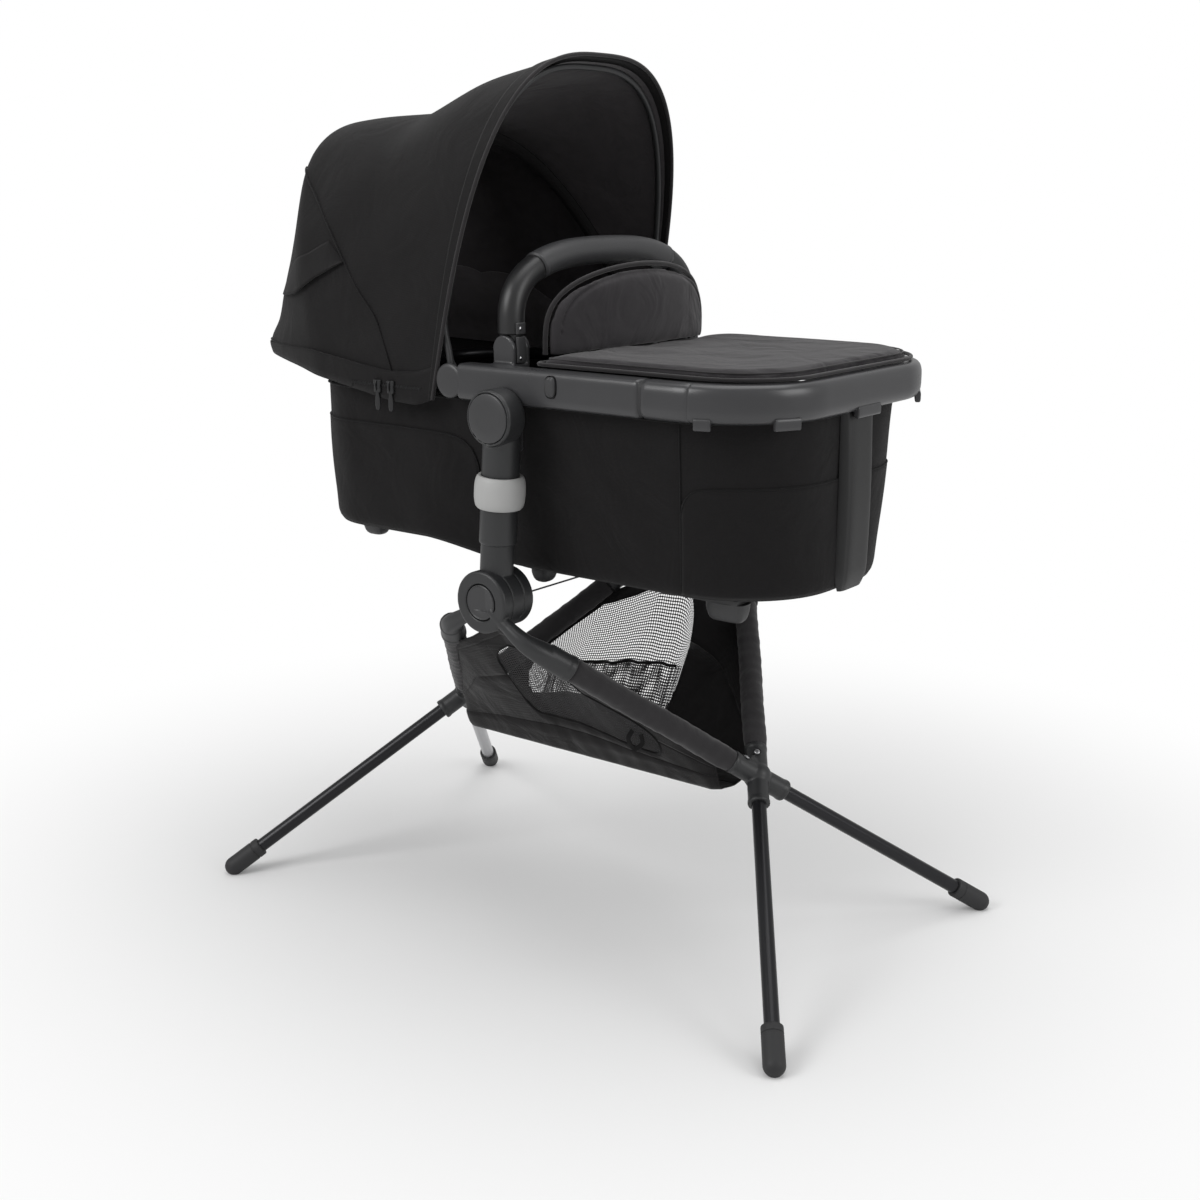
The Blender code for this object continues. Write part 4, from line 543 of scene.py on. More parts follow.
# Lock buttons: satin mouldings in the drums' outer faces. Two shallow slopes meet in an upright
# crease, with a level ledge below them for the thumb. The hinge pins run through the drums.
drum_steel = hard_finish("drum_steel", (0.36, 0.37, 0.38), 0.30, metallic=0.95, depth=0.03)
satin_black = hard_finish("satin_black", (0.030, 0.030, 0.0315), 0.40, grain=0.0005, depth=0.06)
for name, side in sides.items():
    radii = np.concatenate([np.linspace(AXIS, button_radius - 0.0012, 22),
                            button_radius - np.array([0.0004, 0.0, 0.0])])
    grid = turned([(r, 0.0) for r in radii], drum, (0, side, 0), 96)
    across, high = (grid[..., 0] - drum[0]) / button_radius, (grid[..., 2] - drum[2]) / button_radius
    slope = -0.0036 + 0.0030 * np.abs(across - 0.22)
    ledge = np.clip((-high - 0.46) / 0.06, 0.0, 1.0)
    lift = slope + (-0.0009 - slope) * ledge
    rim = (radii / (button_radius - 0.0012)) ** 14
    lift = lift + (0.0001 - lift) * np.minimum(rim, 1.0)[:, None]
    lift[-3:] = np.array([-0.0004, -0.0012, -0.0042])[:, None]
    grid[..., 1] = side * (drum_outer + lift)
    solid(f"lock_lens_{name}", grid, f"lock_{name}", satin_black, "frame", f"lock_button_{name}", smooth=30)
    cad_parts[f"drum_pin_{name}"].data.materials[0] = drum_steel


# Uprights: a glass-filled nylon post that carries the drum's middle plate, and over it a sleeve
# with the round cap housing that takes the carrycot's tongue.
lean = np.array([math.sin(math.radians(4.2)), 0.0, math.cos(math.radians(4.2))])
upright_out, post_radius, sleeve_radius = 0.2135, 0.0192, 0.0215
cap_height, housing_radius, housing_inner = 0.2113, 0.0315, 0.2104
tongue_low, tongue_high, rail_bottom, rail_top = 0.1926, 0.2065, 0.66553, 0.70653
graphite = hard_finish("graphite", (0.0185, 0.019, 0.020), 0.42, grain=0.0006, depth=0.08)


def carved(piece, *rooms):
    """Cut closed grids out of a moulding and keep what is left as its mesh."""
    tool = surface("room", *[(room, True) for room in rooms])
    cut = piece.modifiers.new("room", "BOOLEAN")
    cut.operation = "DIFFERENCE"
    cut.object = tool
    baked(piece)
    bpy.data.objects.remove(tool)
    piece.data.shade_smooth()
    piece.data.set_sharp_from_angle(angle=math.radians(35))
    return piece


def bar(start, end, width, height, up=(0.0, 0.0, 1.0), power=5.0, edge=0.003, around=64):
    """Grid of a straight bar with rounded ends: carried(), drawn in near both ends.

    At a distance d < edge from an end it is smaller all round by edge - sqrt(edge^2 - (edge - d)^2).
    """
    start, end = np.array(start, float), np.array(end, float)
    length = np.linalg.norm(end - start)
    near = edge * (1.0 - np.cos(np.linspace(0.0, math.pi / 2, 7)))
    far = np.concatenate([near, np.linspace(edge, length - edge, 8)[1:-1], length - near[::-1]])
    room = np.minimum(far, length - far)
    inset = np.where(room < edge, edge - np.sqrt(np.maximum(edge ** 2 - (edge - room) ** 2, 0.0)), 0.0)
    path = start + far[:, None] / length * (end - start)
    return carried(path, width - 2 * inset, height - 2 * inset, up, power, around)


for name, side in sides.items():
    foot = drum + (0.0, side * upright_out, 0.0)
    cap = foot + lean * cap_height
    post = turned([(AXIS, 0.030), (post_radius, 0.030)] + rows_between(post_radius, 0.035, 0.139, 8)
                  + [(post_radius - 0.001, 0.140), (AXIS, 0.140)], foot, lean, 56)
    low, high = post_hub_outer - post_hub_width, post_hub_outer
    plate = about_y(plug([(0.0352, low), (0.0360, low + 0.0008), (0.0360, high - 0.0008), (0.0352, high)]),
                    drum, side, 72)
    middle = drum + (0.0, side * (low + high) / 2, 0.0)
    web = bar(middle, middle + lean * 0.052, high - low, 2 * post_radius - 0.004, (1, 0, 0))
    fit(cast(surface(f"post_{name}", (post, True), (plate, True), (web, True)), 0.0012, 3),
        "uprights", moulded_black, "frame", f"upright_post_{name}")
    sleeve = turned([(AXIS, 0.066), (sleeve_radius - 0.0012, 0.066), (sleeve_radius, 0.0675)]
                    + rows_between(sleeve_radius, 0.075, 0.215, 8)
                    + [(sleeve_radius - 0.001, 0.2185), (AXIS, 0.2185)], foot, lean, 56)
    housing = about_y(plug([(housing_radius - 0.002, housing_inner), (housing_radius, housing_inner + 0.0026),
                            (housing_radius, drum_outer - 0.0034),
                            (housing_radius - 0.0008, drum_outer - 0.0014),
                            (housing_radius - 0.0026, drum_outer), (0.0287, drum_outer),
                            (0.0281, drum_outer - 0.0006), (0.0281, drum_outer - 0.0030)]), cap, side, 80)
    room = bar((cap[0], side * (tongue_low + tongue_high) / 2, rail_bottom - 0.0524),
               (cap[0], side * (tongue_low + tongue_high) / 2, rail_bottom + 0.02), 0.0268,
               tongue_high - tongue_low + 0.0012, (0, 1, 0), power=12)
    body = carved(cast(surface(f"sleeve_{name}", (sleeve, True), (housing, True)), 0.0012, 3), room)
    fit(body, "uprights", graphite, "frame", f"upright_sleeve_{name}")
    face = about_y([(AXIS, drum_outer + 0.0010), (0.0150, drum_outer + 0.0009),
                    (0.0258, drum_outer + 0.0006), (0.0270, drum_outer + 0.0001),
                    (0.0275, drum_outer - 0.0008), (0.0275, drum_outer - 0.0019),
                    (AXIS, drum_outer - 0.0019)], cap, side, 80)
    solid(f"cap_disc_{name}", face, "uprights", satin_black, "frame", f"upright_cap_{name}")


# Release collars: pale soft-touch sleeves, slightly barrelled, that slide up on the uprights and
# draw the tongues' catches. A fine parting line runs down both flanks.
collar_grey = hard_finish("collar_grey", (0.36, 0.36, 0.355), 0.50, grain=0.0005, depth=0.10, wear=0.012)
for name, side in sides.items():
    middle = drum + (0.0, side * upright_out, 0.0) + lean * 0.126
    heights = np.linspace(-0.0185, 0.0185, 19)
    barrelled = 0.0290 - 0.0030 * np.abs(heights / 0.0185) ** 3.0
    outer = [(r, h) for r, h in zip(barrelled, heights)]
    edge = [(0.0252, 0.01850), (0.0226, 0.01850), (0.0219, 0.0178)]
    rows = [(0.0219, -0.0178), (0.0226, -0.01850), (0.0252, -0.01850)] + outer[1:-1] + edge
    grid = turned(rows, middle, lean, 96)
    flank = np.abs(np.linspace(0.0, math.tau, 96, endpoint=False) - math.pi) % math.pi
    parting = np.exp(-(np.minimum(flank, math.pi - flank) / 0.035) ** 2) * 0.00035
    axis_line = middle + np.array([row[1] for row in rows])[:, None, None] * lean
    grid = axis_line + (grid - axis_line) * (1.0 - parting[None, :, None] / 0.029)
    fit(surface(f"collar_{name}", (grid, "ring")), f"collar_{name}", collar_grey, "collar",
        f"release_collar_{name}")


# Sync cable: a thin steel rope between the two drum locks, drawn taut, in its clear jacket.
strands = hard_finish("strands", (0.10, 0.10, 0.105), 0.35, metallic=0.7, grain=0.0004, depth=0.3)
cable_x, cable_z, cable_end = drum[0] + 0.022, drum[2] + 0.004, 0.1867
turns = np.linspace(-cable_end, cable_end, 420)
twist = np.linspace(0.0, math.tau, 12, endpoint=False)
lay = 0.0011 * (1.0 - 0.10 * np.abs(np.sin(2.5 * (twist[None, :] + turns[:, None] * 900.0))))
rope = np.stack([cable_x + lay * np.cos(twist), np.broadcast_to(turns[:, None], lay.shape),
                 cable_z + lay * np.sin(twist)], -1)
solid("cable_rope", rope, "uprights", strands, "steel", "sync_cable")


# Basket: a hammock of woven cloth between the four arms. Mesh windows are sewn into both sides,
# a hem band runs along the floor's edges, and a stretch pocket hangs inside the far side.
cover_radius, basket_floor, basket_rear, basket_front = 0.0145, 0.195, -0.196, 0.204
basket_cloth = cloth_finish("basket_cloth", (0.0080, 0.0072, 0.0076), thread=0.0011, sheen=0.12, crease=0.5)
hem_tape = cloth_finish("hem_tape", (0.0042, 0.0040, 0.0042), thread=0.0007, sheen=0.06, crease=0.15)


def basket_rim(x):
    """Half width and height of the basket's top edge at x: under the arm covers, up to the drums."""
    places = []
    for end, cross in ((rear_neck_end, rear_cross), (front_neck_end, front_cross)):
        run = unit(cross - end)
        below = (0.0, 0.0, (cover_radius - 0.0045) / math.sqrt(1.0 - run[2] ** 2))
        places.append([cross - below, end + run * 0.030 - below])
    (rear_low, rear_high), (front_low, front_high) = places
    marks = np.array([rear_low, rear_high, (-0.062, 0.172, 0.3760), (-0.020, 0.180, 0.3985),
                      (0.030, 0.186, 0.3985),
                      (0.064, 0.190, 0.3800), front_high, front_low])
    return np.interp(x, marks[:, 0], marks[:, 1]), np.interp(x, marks[:, 0], marks[:, 2])


def along_basket(x):
    """Share of the way along the basket at x."""
    return np.clip((x - basket_rear) / (basket_front - basket_rear), 0, 1)


def basket_grid(x, down, side, lift=0.0):
    """Grid of the basket's cloth: down is 0 at the rim, 1 at the floor's edge, 2 in the middle.

    The side is a straight slope that rounds into the floor, and it sags inward and down by a few
    millimetres where nothing holds it.
    """
    x = np.broadcast_to(x, down.shape)
    if side > 0:
        x = x + 0.040 * np.clip(down, 0, 1) * np.sin(math.pi * along_basket(x))
    half, rim = basket_rim(x)
    floor_half = np.minimum(0.046, half * 0.85)
    marks = np.array([0.0, 0.5, 0.9, 1.06, 2.0])
    y_marks = np.stack([half, half * 0.6 + floor_half * 0.4, floor_half, floor_half * 0.8, half * 0.0], 0)
    z_marks = np.stack([rim, rim * 0.6 + (basket_floor + 0.02) * 0.4, np.full_like(rim, basket_floor + 0.020),
                        np.full_like(rim, basket_floor + 0.004), np.full_like(rim, basket_floor)], 0)
    k = np.clip(np.searchsorted(marks, down, side="right") - 1, 0, 3)
    t = (down - marks[k]) / (marks[k + 1] - marks[k])
    pick = lambda table, index: np.take_along_axis(table, index[None], 0)[0]
    y = pick(y_marks, k) * (1 - t) + pick(y_marks, k + 1) * t
    z = pick(z_marks, k) * (1 - t) + pick(z_marks, k + 1) * t
    slack = np.sin(np.clip(down, 0, 1) * math.pi) * np.sin(along_basket(x) * math.pi)
    ripple = 0.0011 * np.sin(x * 95.0 + down * 3.0) * np.sin(down * 4.2 + 0.6)
    ripple = ripple + 0.0006 * np.sin(x * 210.0 - down * 7.0)
    y = y - slack * 0.003 + ripple * np.clip(down * 3, 0, 1) * np.clip((2 - down) * 4, 0, 1) + lift
    return np.stack([x, side * y, z - slack * 0.001 + ripple * 0.4], -1)


# Each side has its own window: the far one lies under the rear arm, the near one under the front
# arm. Their ends are rounded by drawing top and bottom together.
windows = {"right": (-0.052, 0.150, 0.20, 0.74), "left": (-0.176, 0.030, 0.125, 0.86)}


def window_marks(side_name, count=96):
    """X marks along a side with the window's top and bottom (as shares down) at each mark."""
    low_x, high_x, top, bottom = windows[side_name]
    marks = np.concatenate([np.linspace(basket_rear, low_x, 16)[:-1], np.linspace(low_x, high_x, count),
                            np.linspace(high_x, basket_front, 16)[1:]])
    place = np.clip((marks - low_x) / (high_x - low_x), 0.0, 1.0)
    opening = np.clip((1.0 - np.abs(2 * place - 1) ** 14), 0.0, 1.0) ** 0.5
    middle = (top + bottom) / 2
    return marks, middle + (top - middle) * opening, middle + (bottom - middle) * opening


def on_basket(piece, finish, *nodes):
    """Ride a piece on the front frame and give it a mesh of its own. On the real basket the cloth gathers as the
    frames fold together.
    """
    fit(piece, "front_frame", finish, "fabric", *nodes)
    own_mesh(piece)
    return piece


cloth_parts = []
for name, side in sides.items():
    span, tops, bottoms = window_marks(name)
    upper = tops[:, None] * np.linspace(0.0, 1.0, 12)[None, :]
    lower = bottoms[:, None] + (2.0 - bottoms[:, None]) * np.linspace(0.0, 1.0, 26)[None, :]
    cloth_parts.append((basket_grid(span[:, None], upper, side), False))
    cloth_parts.append((basket_grid(span[:, None], lower, side), False))
trough = surface("basket_trough", *cloth_parts, smooth=60)
on_basket(thickened(trough, 0.0016), basket_cloth, "basket")

net, tree, shader = new_finish("window_net", {"Base Color": (0.020, 0.019, 0.020, 1.0), "Roughness": 0.8})
mesh_pitch = 0.0034
own_map = node(tree, "UVMap", {}, uv_map="cloth").outputs["UV"]
pitch = node(tree, "VectorMath", {"Scale": 1.0 / mesh_pitch, 0: own_map}, operation="SCALE")
cell = node(tree, "VectorMath", {0: pitch.outputs["Vector"]}, operation="FRACTION")
centred = node(tree, "VectorMath", {0: cell.outputs["Vector"], 1: (0.5, 0.5, 0.0)}, operation="SUBTRACT")
away = node(tree, "VectorMath", {0: centred.outputs["Vector"]}, operation="LENGTH").outputs["Value"]
hole = node(tree, "MapRange", {"From Min": 0.33, "From Max": 0.38, "Value": away})
yarn = node(tree, "Bump", {"Strength": 0.5, "Distance": 0.0006, "Height": away})
tree.links.new(hole.outputs["Result"], shader.inputs["Alpha"])
tree.links.new(yarn.outputs["Normal"], shader.inputs["Normal"])


cord_up = (0.13, 0.21, 0.97)


def piping(points, radius, count=None, around=10):
    """Grid of a thin round cord or raised seam along a smooth path through points."""
    return carried(curve_through(points, count or 6 * len(points)), 2 * radius, 2 * radius, cord_up, 2.0,
                   around)


for name, side in sides.items():
    span, tops, bottoms = window_marks(name)
    low_x, high_x = windows[name][:2]
    inside = (span >= low_x) & (span <= high_x)
    low, high = tops[inside][:, None], bottoms[inside][:, None]
    field = basket_grid(span[inside][:, None], low + (high - low) * np.linspace(0.0, 1.0, 20)[None, :], side)
    window = surface(f"basket_window_{name}", (field, False), smooth=60)
    on_basket(window, net)
    edge = np.concatenate([field[:, 0], field[::-1, -1]])
    bind = surface(f"window_binding_{name}", (piping(edge[::3] + (0, side * 0.0010, 0), 0.0016, 200), True))
    on_basket(bind, hem_tape)
    hem_rows = [basket_grid(span[:, None], np.broadcast_to(np.linspace(a, b, 5), (len(span), 5)), side,
                            0.0014)
                for a, b in ((0.80, 1.10), (0.0, 0.085))]
    for label, strip in zip(("floor", "rim"), hem_rows):
        band = surface(f"basket_hem_{label}_{name}", (strip, False), smooth=60)
        on_basket(thickened(band, 0.0012), basket_cloth)

# Inside the far side a gathered net pocket has an elastic edge, and a short webbing loop is sewn
# on the near side.
pocket_x = np.linspace(-0.150, 0.028, 60)
droop = 0.030 * np.sin(math.pi * np.linspace(0.0, 1.0, 60))
pocket = basket_grid(pocket_x[:, None], 0.60 + droop[:, None]
                     + (0.93 - 0.60 - droop[:, None]) * np.linspace(0.0, 1.0, 16)[None, :], 1.0, -0.006)
pocket[..., 1] -= 0.004 * np.sin(pocket_x * 160.0)[:, None] * np.linspace(1.0, 0.0, 16)[None, :]
inner_pocket = surface("basket_pocket", (pocket, False), smooth=60)
on_basket(inner_pocket, net)
on_basket(surface("pocket_elastic", (piping(pocket[::3, 0], 0.0022, 120), True)), hem_tape)
loop_foot = basket_grid(np.array([[0.128, 0.136]]), np.full((1, 2), 0.50), -1.0, 0.003)[0]
loop_line = np.array([loop_foot[0], loop_foot[0] + (-0.004, -0.003, -0.010),
                      (loop_foot[0] + loop_foot[1]) / 2 + (0, -0.004, -0.019),
                      loop_foot[1] + (0.004, -0.003, -0.010), loop_foot[1]])
on_basket(surface("basket_loop", (carried(curve_through(loop_line, 60), 0.0060, 0.0016, (0, 1, 0), 4.0, 16),
                                  True)), hem_tape)


# Rail: a moulded bow round the foot end plugs into a casting on each side, which carries the ear
# for the hood, the cheeks for the handle and the tongue for the stand. Hooks hold the cloth body.
rail_half, rail_width, rail_height = 0.195, 0.030, 0.041
rail_outer, rail_inner, rail_middle = 0.210, 0.180, rail_bottom + 0.0205
rail_satin = hard_finish("rail_satin", (0.036, 0.036, 0.038), 0.29, grain=0.0005, depth=0.06)
rail_front_x, rail_corner, rail_seam, rail_rear = 0.352, 0.105, 0.208, -0.047


def bend_round(half, end_x, corner, start_x, turn=1.0, count=34):
    """Plan path from side to side round an end: straight, quarter circle, straight, and back."""
    angle = np.linspace(-math.pi / 2, 0.0, count)
    x = end_x - turn * corner + turn * corner * np.cos(angle)
    y = -(half - corner) + corner * np.sin(angle)
    side_x = np.linspace(start_x, x[0], 12)[:-1]
    first = np.stack([np.concatenate([side_x, x]), np.concatenate([np.full(11, -half), y])], -1)
    across = np.stack([np.full(9, end_x), np.linspace(y[-1], -y[-1], 11)[1:-1]], -1)
    return np.concatenate([first, across, first[::-1] * (1.0, -1.0)])


plan = bend_round(rail_half, rail_front_x, rail_corner, rail_seam + 0.0024)
path = np.column_stack([plan, np.full(len(plan), rail_middle)])
lead = distances(path)
fine = np.concatenate([0.0012 * (1 - np.cos(np.linspace(0, 1.5, 5))), np.linspace(0.002, 0.055, 14),
                       [0.0556, 0.0561, 0.0566, 0.0572]])
fine = np.concatenate([fine, np.linspace(0.058, lead[-1] - 0.058, 160), lead[-1] - fine[::-1]])
path = np.stack([np.interp(fine, lead, path[:, k]) for k in range(3)], -1)
from_end = np.minimum(fine, lead[-1] - fine)
draw_in = np.where(from_end < 0.0022, 0.0016 * (1 - from_end / 0.0022),
                   0.0) + 0.0005 * np.exp(-((from_end - 0.0561) / 0.0006) ** 2)
bow = carried(path, rail_width - 2 * draw_in, rail_height - 2 * draw_in, power=3.4, around=72)
hooks = []
for degrees, length in ((-72, 0.018), (-28, 0.030), (0, 0.050), (28, 0.030), (72, 0.018)):
    angle = math.radians(degrees)
    x = rail_front_x - rail_corner + (rail_corner + 0.0115) * math.cos(angle)
    y = (math.copysign(rail_half - rail_corner, degrees)
         + (rail_corner + 0.0115) * math.sin(angle)) if degrees else 0.0
    along = np.array([-math.sin(angle), math.cos(angle), 0.0]) * length / 2
    spot = np.array([x, y, rail_bottom])
    hooks.append((bar(spot - along, spot + along, 0.0070, 0.0130, power=4, edge=0.0012, around=28), True))
fit(surface("rail_bow", (bow, True), *hooks), "carrycot", rail_satin, "frame", "rail_front")

plan = bend_round(rail_inner - 0.0083, -0.318, 0.100, 0.012, turn=-1.0)
tube = np.column_stack([plan, np.full(len(plan), rail_bottom + 0.008)])
fit(surface("head_hoop", (carried(tube, 0.016, 0.016, around=32), True)), "carrycot", black_anodised,
    "anodised", "rail_head")

hood_pivot = np.array([-0.0605, 0.0, rail_bottom + 0.022])
handle_x, handle_half, handle_pivot_z, knuckle = 0.002, 0.169, rail_top + 0.017, 0.0150
button_x, button_z = 0.092, rail_bottom + 0.0246
for name, side in sides.items():
    casting = bar((rail_rear, side * rail_half, rail_middle), (rail_seam, side * rail_half, rail_middle),
                  rail_width, rail_height, power=5.5, edge=0.004, around=72)
    ear = about_y(plug([(0.0115, 0.2046), (0.0115, 0.2090), (0.0105, 0.2100)]), hood_pivot, side, 48)
    ear_arm = bar(hood_pivot + (0.002, side * 0.20725, 0), (rail_rear + 0.012, side * 0.20725, hood_pivot[2]),
                  0.0055, 0.0184, power=4, edge=0.001, around=32)
    pin = about_y([(0.003, 0.1848), (0.003, 0.2080)], hood_pivot, side, 20)
    tongue_y = (tongue_low + tongue_high) / 2
    tongue = bar((cap[0], side * tongue_y, rail_bottom - 0.0520),
                 (cap[0], side * tongue_y, rail_bottom + 0.008),
                 0.0260, tongue_high - tongue_low, (0, 1, 0), power=6, edge=0.0012, around=40)
    shelf = bar((handle_x - knuckle, side * 0.1746, rail_top - 0.0036),
                (handle_x + knuckle, side * 0.1746, rail_top - 0.0036),
                0.0408, 0.0088, power=6, edge=0.002, around=40)
    forms = [casting, ear, ear_arm, pin, tongue, shelf]
    for low in (0.1541, 0.1779):
        forms.append(turned(plug([(knuckle - 0.0008, low), (knuckle, low + 0.0008), (knuckle, low + 0.0052),
                                  (knuckle - 0.0008, low + 0.0060)]), (handle_x, 0, handle_pivot_z),
                            (0, side, 0), 56))
        forms.append(bar((handle_x, side * (low + 0.0030), rail_top - 0.004),
                         (handle_x, side * (low + 0.0030), handle_pivot_z),
                         2 * knuckle, 0.0060, (0, 1, 0), power=7, edge=0.0005, around=40))
    room = bar((button_x, side * (rail_outer - 0.008), button_z),
               (button_x, side * (rail_outer + 0.01), button_z),
               0.0168, 0.0248, power=3.2, edge=0.0004, around=40)
    body = carved(cast(surface(f"rail_casting_{name}", *[(form, True) for form in forms]), 0.0012, 3), room)
    fit(body, "carrycot", rail_satin, "frame", f"rail_side_{name}")
    pad = bar((button_x, side * (rail_outer - 0.0045), button_z),
              (button_x, side * (rail_outer + 0.0040), button_z),
              0.0142, 0.0226, power=2.6, edge=0.0030, around=48)
    split = 0.0008 * np.exp(-((pad[..., 0] - button_x - 0.0012)
                              / 0.0005) ** 2) * (np.abs(pad[..., 1]) > rail_outer)
    pad[..., 1] -= side * split
    solid(f"thumb_button_{name}", pad, f"memory_{name}", satin_black, "frame", f"memory_button_{name}")
    lens = turned([(AXIS, 0.2103), (0.0150, 0.2102), (0.0184, 0.2096), (0.0196, 0.2083), (0.0197, 0.2062),
                   (AXIS, 0.2062)], (hood_pivot[0] + 0.0025, 0, rail_middle), (0, side, 0), 72)
    solid(f"hood_hub_{name}", lens, "carrycot", satin_black, "frame")
    # A ring of dark rubber sits deep in the groove where the bow meets the casting: painted shade that darkens
    # the groove.
    groove_shade_ring = bar((rail_seam - 0.0016, side * rail_half, rail_middle),
                    (rail_seam + 0.0040, side * rail_half, rail_middle),
                    rail_width - 0.0026, rail_height - 0.0026, power=4.4, edge=0.0003, around=56)
    solid(f"rail_joint_shade_{name}", groove_shade_ring, "carrycot", foot_rubber, "rubber")


# Carry handle: two moulded ends turn on pins in the castings' cheeks, and a foam tube between
# them is wrapped in stitched imitation leather. Small steel rivets close the hinge covers.
handle_top, arch_base = handle_pivot_z + 0.103, handle_pivot_z + 0.025
grip_half = 0.125
leather = hard_finish("leather", (0.036, 0.036, 0.038), 0.46, grain=0.0012, depth=0.30, wear=0.03)
stitch_thread = cloth_finish("stitch_thread", (0.050, 0.050, 0.052), thread=0.0004, sheen=0.3)
handle_satin = hard_finish("handle_satin", (0.0100, 0.0100, 0.0106), 0.40, grain=0.0005, depth=0.05)
rivet_steel = hard_finish("rivet_steel", (0.50, 0.50, 0.51), 0.26, metallic=1.0, depth=0.02)


def handle_arch(angle):
    """Points of the handle's arch: |y/half|^2.7 + |(z - base)/rise|^2.7 = 1 above the legs."""
    y = np.sign(np.cos(angle)) * np.abs(np.cos(angle)) ** (2 / 2.7) * handle_half
    z = arch_base + np.abs(np.sin(angle)) ** (2 / 2.7) * (handle_top - arch_base)
    return np.stack([np.full_like(angle, handle_x), y, z], -1)


sweep = np.linspace(0.0, math.pi, 1201)
arch = handle_arch(sweep)
lead = distances(arch)


def stretch(low, high, count):
    """Points of the arch between two running distances."""
    where = np.linspace(low, high, count)
    return np.stack([np.interp(where, lead, arch[:, k]) for k in range(3)], -1)


to_grip = float(np.interp(-grip_half, -arch[:600, 1], lead[:600]))
for name, side in sides.items():
    curve = stretch(0.0, to_grip - 0.0002, 46) * (1.0, side, 1.0)
    root = np.array([[handle_x, side * handle_half, z]
                     for z in np.linspace(handle_pivot_z + 0.0156, arch_base, 8)[:-1]])
    line = np.concatenate([root, curve])
    run = distances(line)
    edge = np.minimum(run, run[-1] - run)
    shrink = np.where(edge < 0.0012, 0.0012 - edge, 0.0) + 0.0006 * np.exp(-((run - 0.0035) / 0.0005) ** 2)
    leg = carried(line, 0.0300 - 2 * shrink, 0.0296 - 2 * shrink, (1, 0, 0), 2.15, 48)
    hub = turned(plug([(0.0140, handle_half - 0.0085), (0.0140, handle_half + 0.0085)]),
                 (handle_x, 0, handle_pivot_z), (0, side, 0), 48)
    web = bar((handle_x, side * handle_half, handle_pivot_z),
              (handle_x, side * handle_half, handle_pivot_z + 0.021),
              0.0240, 0.0170, (0, 1, 0), power=6, edge=0.001, around=36)
    end = surface(f"handle_leg_{name}", (leg, True), (hub, True), (web, True))
    fit(end, "handle", handle_satin, "frame", f"handle_end_{name}")
    hinge_covers = (
        ("upper", "handle", handle_pivot_z + 0.0160, handle_pivot_z + 0.0290, handle_pivot_z + 0.0225),
        ("lower", "carrycot", rail_top + 0.0012, handle_pivot_z + 0.0135, rail_top + 0.0065),
    )
    for label, body, low, high, rivet_z in hinge_covers:
        cover_x, cover_y = handle_x + knuckle - 0.0004, side * (handle_half + 0.001)
        cover = bar((cover_x, cover_y, low), (cover_x, cover_y, high), 0.0036, 0.0150, (0, 1, 0), 4, 0.001,
                    28)
        solid(f"hinge_cover_{label}_{name}", cover, body, satin_black, "frame")
        head = [(0.0022 * math.cos(a), 0.0010 * math.sin(a)) for a in np.linspace(0.0, 1.5, 7)]
        knob = turned([(AXIS, -0.001), (0.0022, -0.001)] + head,
                      (handle_x + knuckle + 0.0013, side * (handle_half + 0.003), rivet_z), (1, 0, 0), 20)
        solid(f"hinge_rivet_{label}_{name}", knob, body, rivet_steel, "steel")

line = stretch(to_grip + 0.0002, lead[-1] - to_grip - 0.0002, 150)
run = distances(line)
edge = np.minimum(run, run[-1] - run)
girth = 0.0324 + 0.0008 * np.sin(run * 55.0) * np.sin(run * 23.0) * 0.3
girth = girth - np.where(edge < 0.0016, 2 * (0.0016 - edge), 0.0)
girth = girth + 0.0008 * np.exp(-((edge - 0.0030) / 0.0016) ** 2)
girth = girth - 0.0009 * np.exp(-((edge - 0.0062) / 0.0008) ** 2)
grip = carried(line, girth, girth, (1, 0, 0), 2.0, 72)
around = np.linspace(0.0, math.tau, 72, endpoint=False)
centre_line = line[:, None]
low_side = np.minimum(np.abs(around - 1.5 * math.pi), 0.6)
crease = 0.0007 * np.exp(-(low_side / 0.06) ** 2)
grip = centre_line + (grip - centre_line) * (1.0 - crease[None, :, None] / 0.0162)
solid("grip_wrap", grip, "handle", leather, "leather", "handle_grip")
ahead = units(np.gradient(line, axis=0))
inward = np.cross((1.0, 0.0, 0.0), ahead)
inward *= np.sign(-inward[len(inward) // 2, 2])
seam = line + inward * 0.0163
stitches = []
for k in np.arange(4, 146, 3):
    for shift in (-0.0028, 0.0028):
        base = seam[k] - inward[k] * 0.0002 + (shift, 0.0, 0.0)
        half_stitch = ahead[k] * 0.0011
        stitches.append(bar(base - half_stitch, base + half_stitch, 0.0007, 0.0007, (1, 0, 0), 2.0, 0.0003,
                            6))
solid("grip_stitches", stitches, "handle", stitch_thread, "leather")


# Carrycot body: a sewn shell of coated cloth with a stiffened wall, hung from the rail. A lighter
# lining covers its inside, and flat patch pockets lie on its head and foot ends.
body_rear, body_front, wall = -0.340, 0.3470, 0.0050
body_top, body_floor, floor_rise = rail_bottom - 0.0014, 0.463, 0.024
top_half, floor_half = 0.186, 0.151
shell_cloth = cloth_finish("shell_cloth", (0.0056, 0.0050, 0.0053), thread=0.0008, sheen=0.06, crease=0.30)
lining_cloth = cloth_finish("lining_cloth", (0.030, 0.028, 0.029), thread=0.0007, sheen=0.2, crease=0.25)


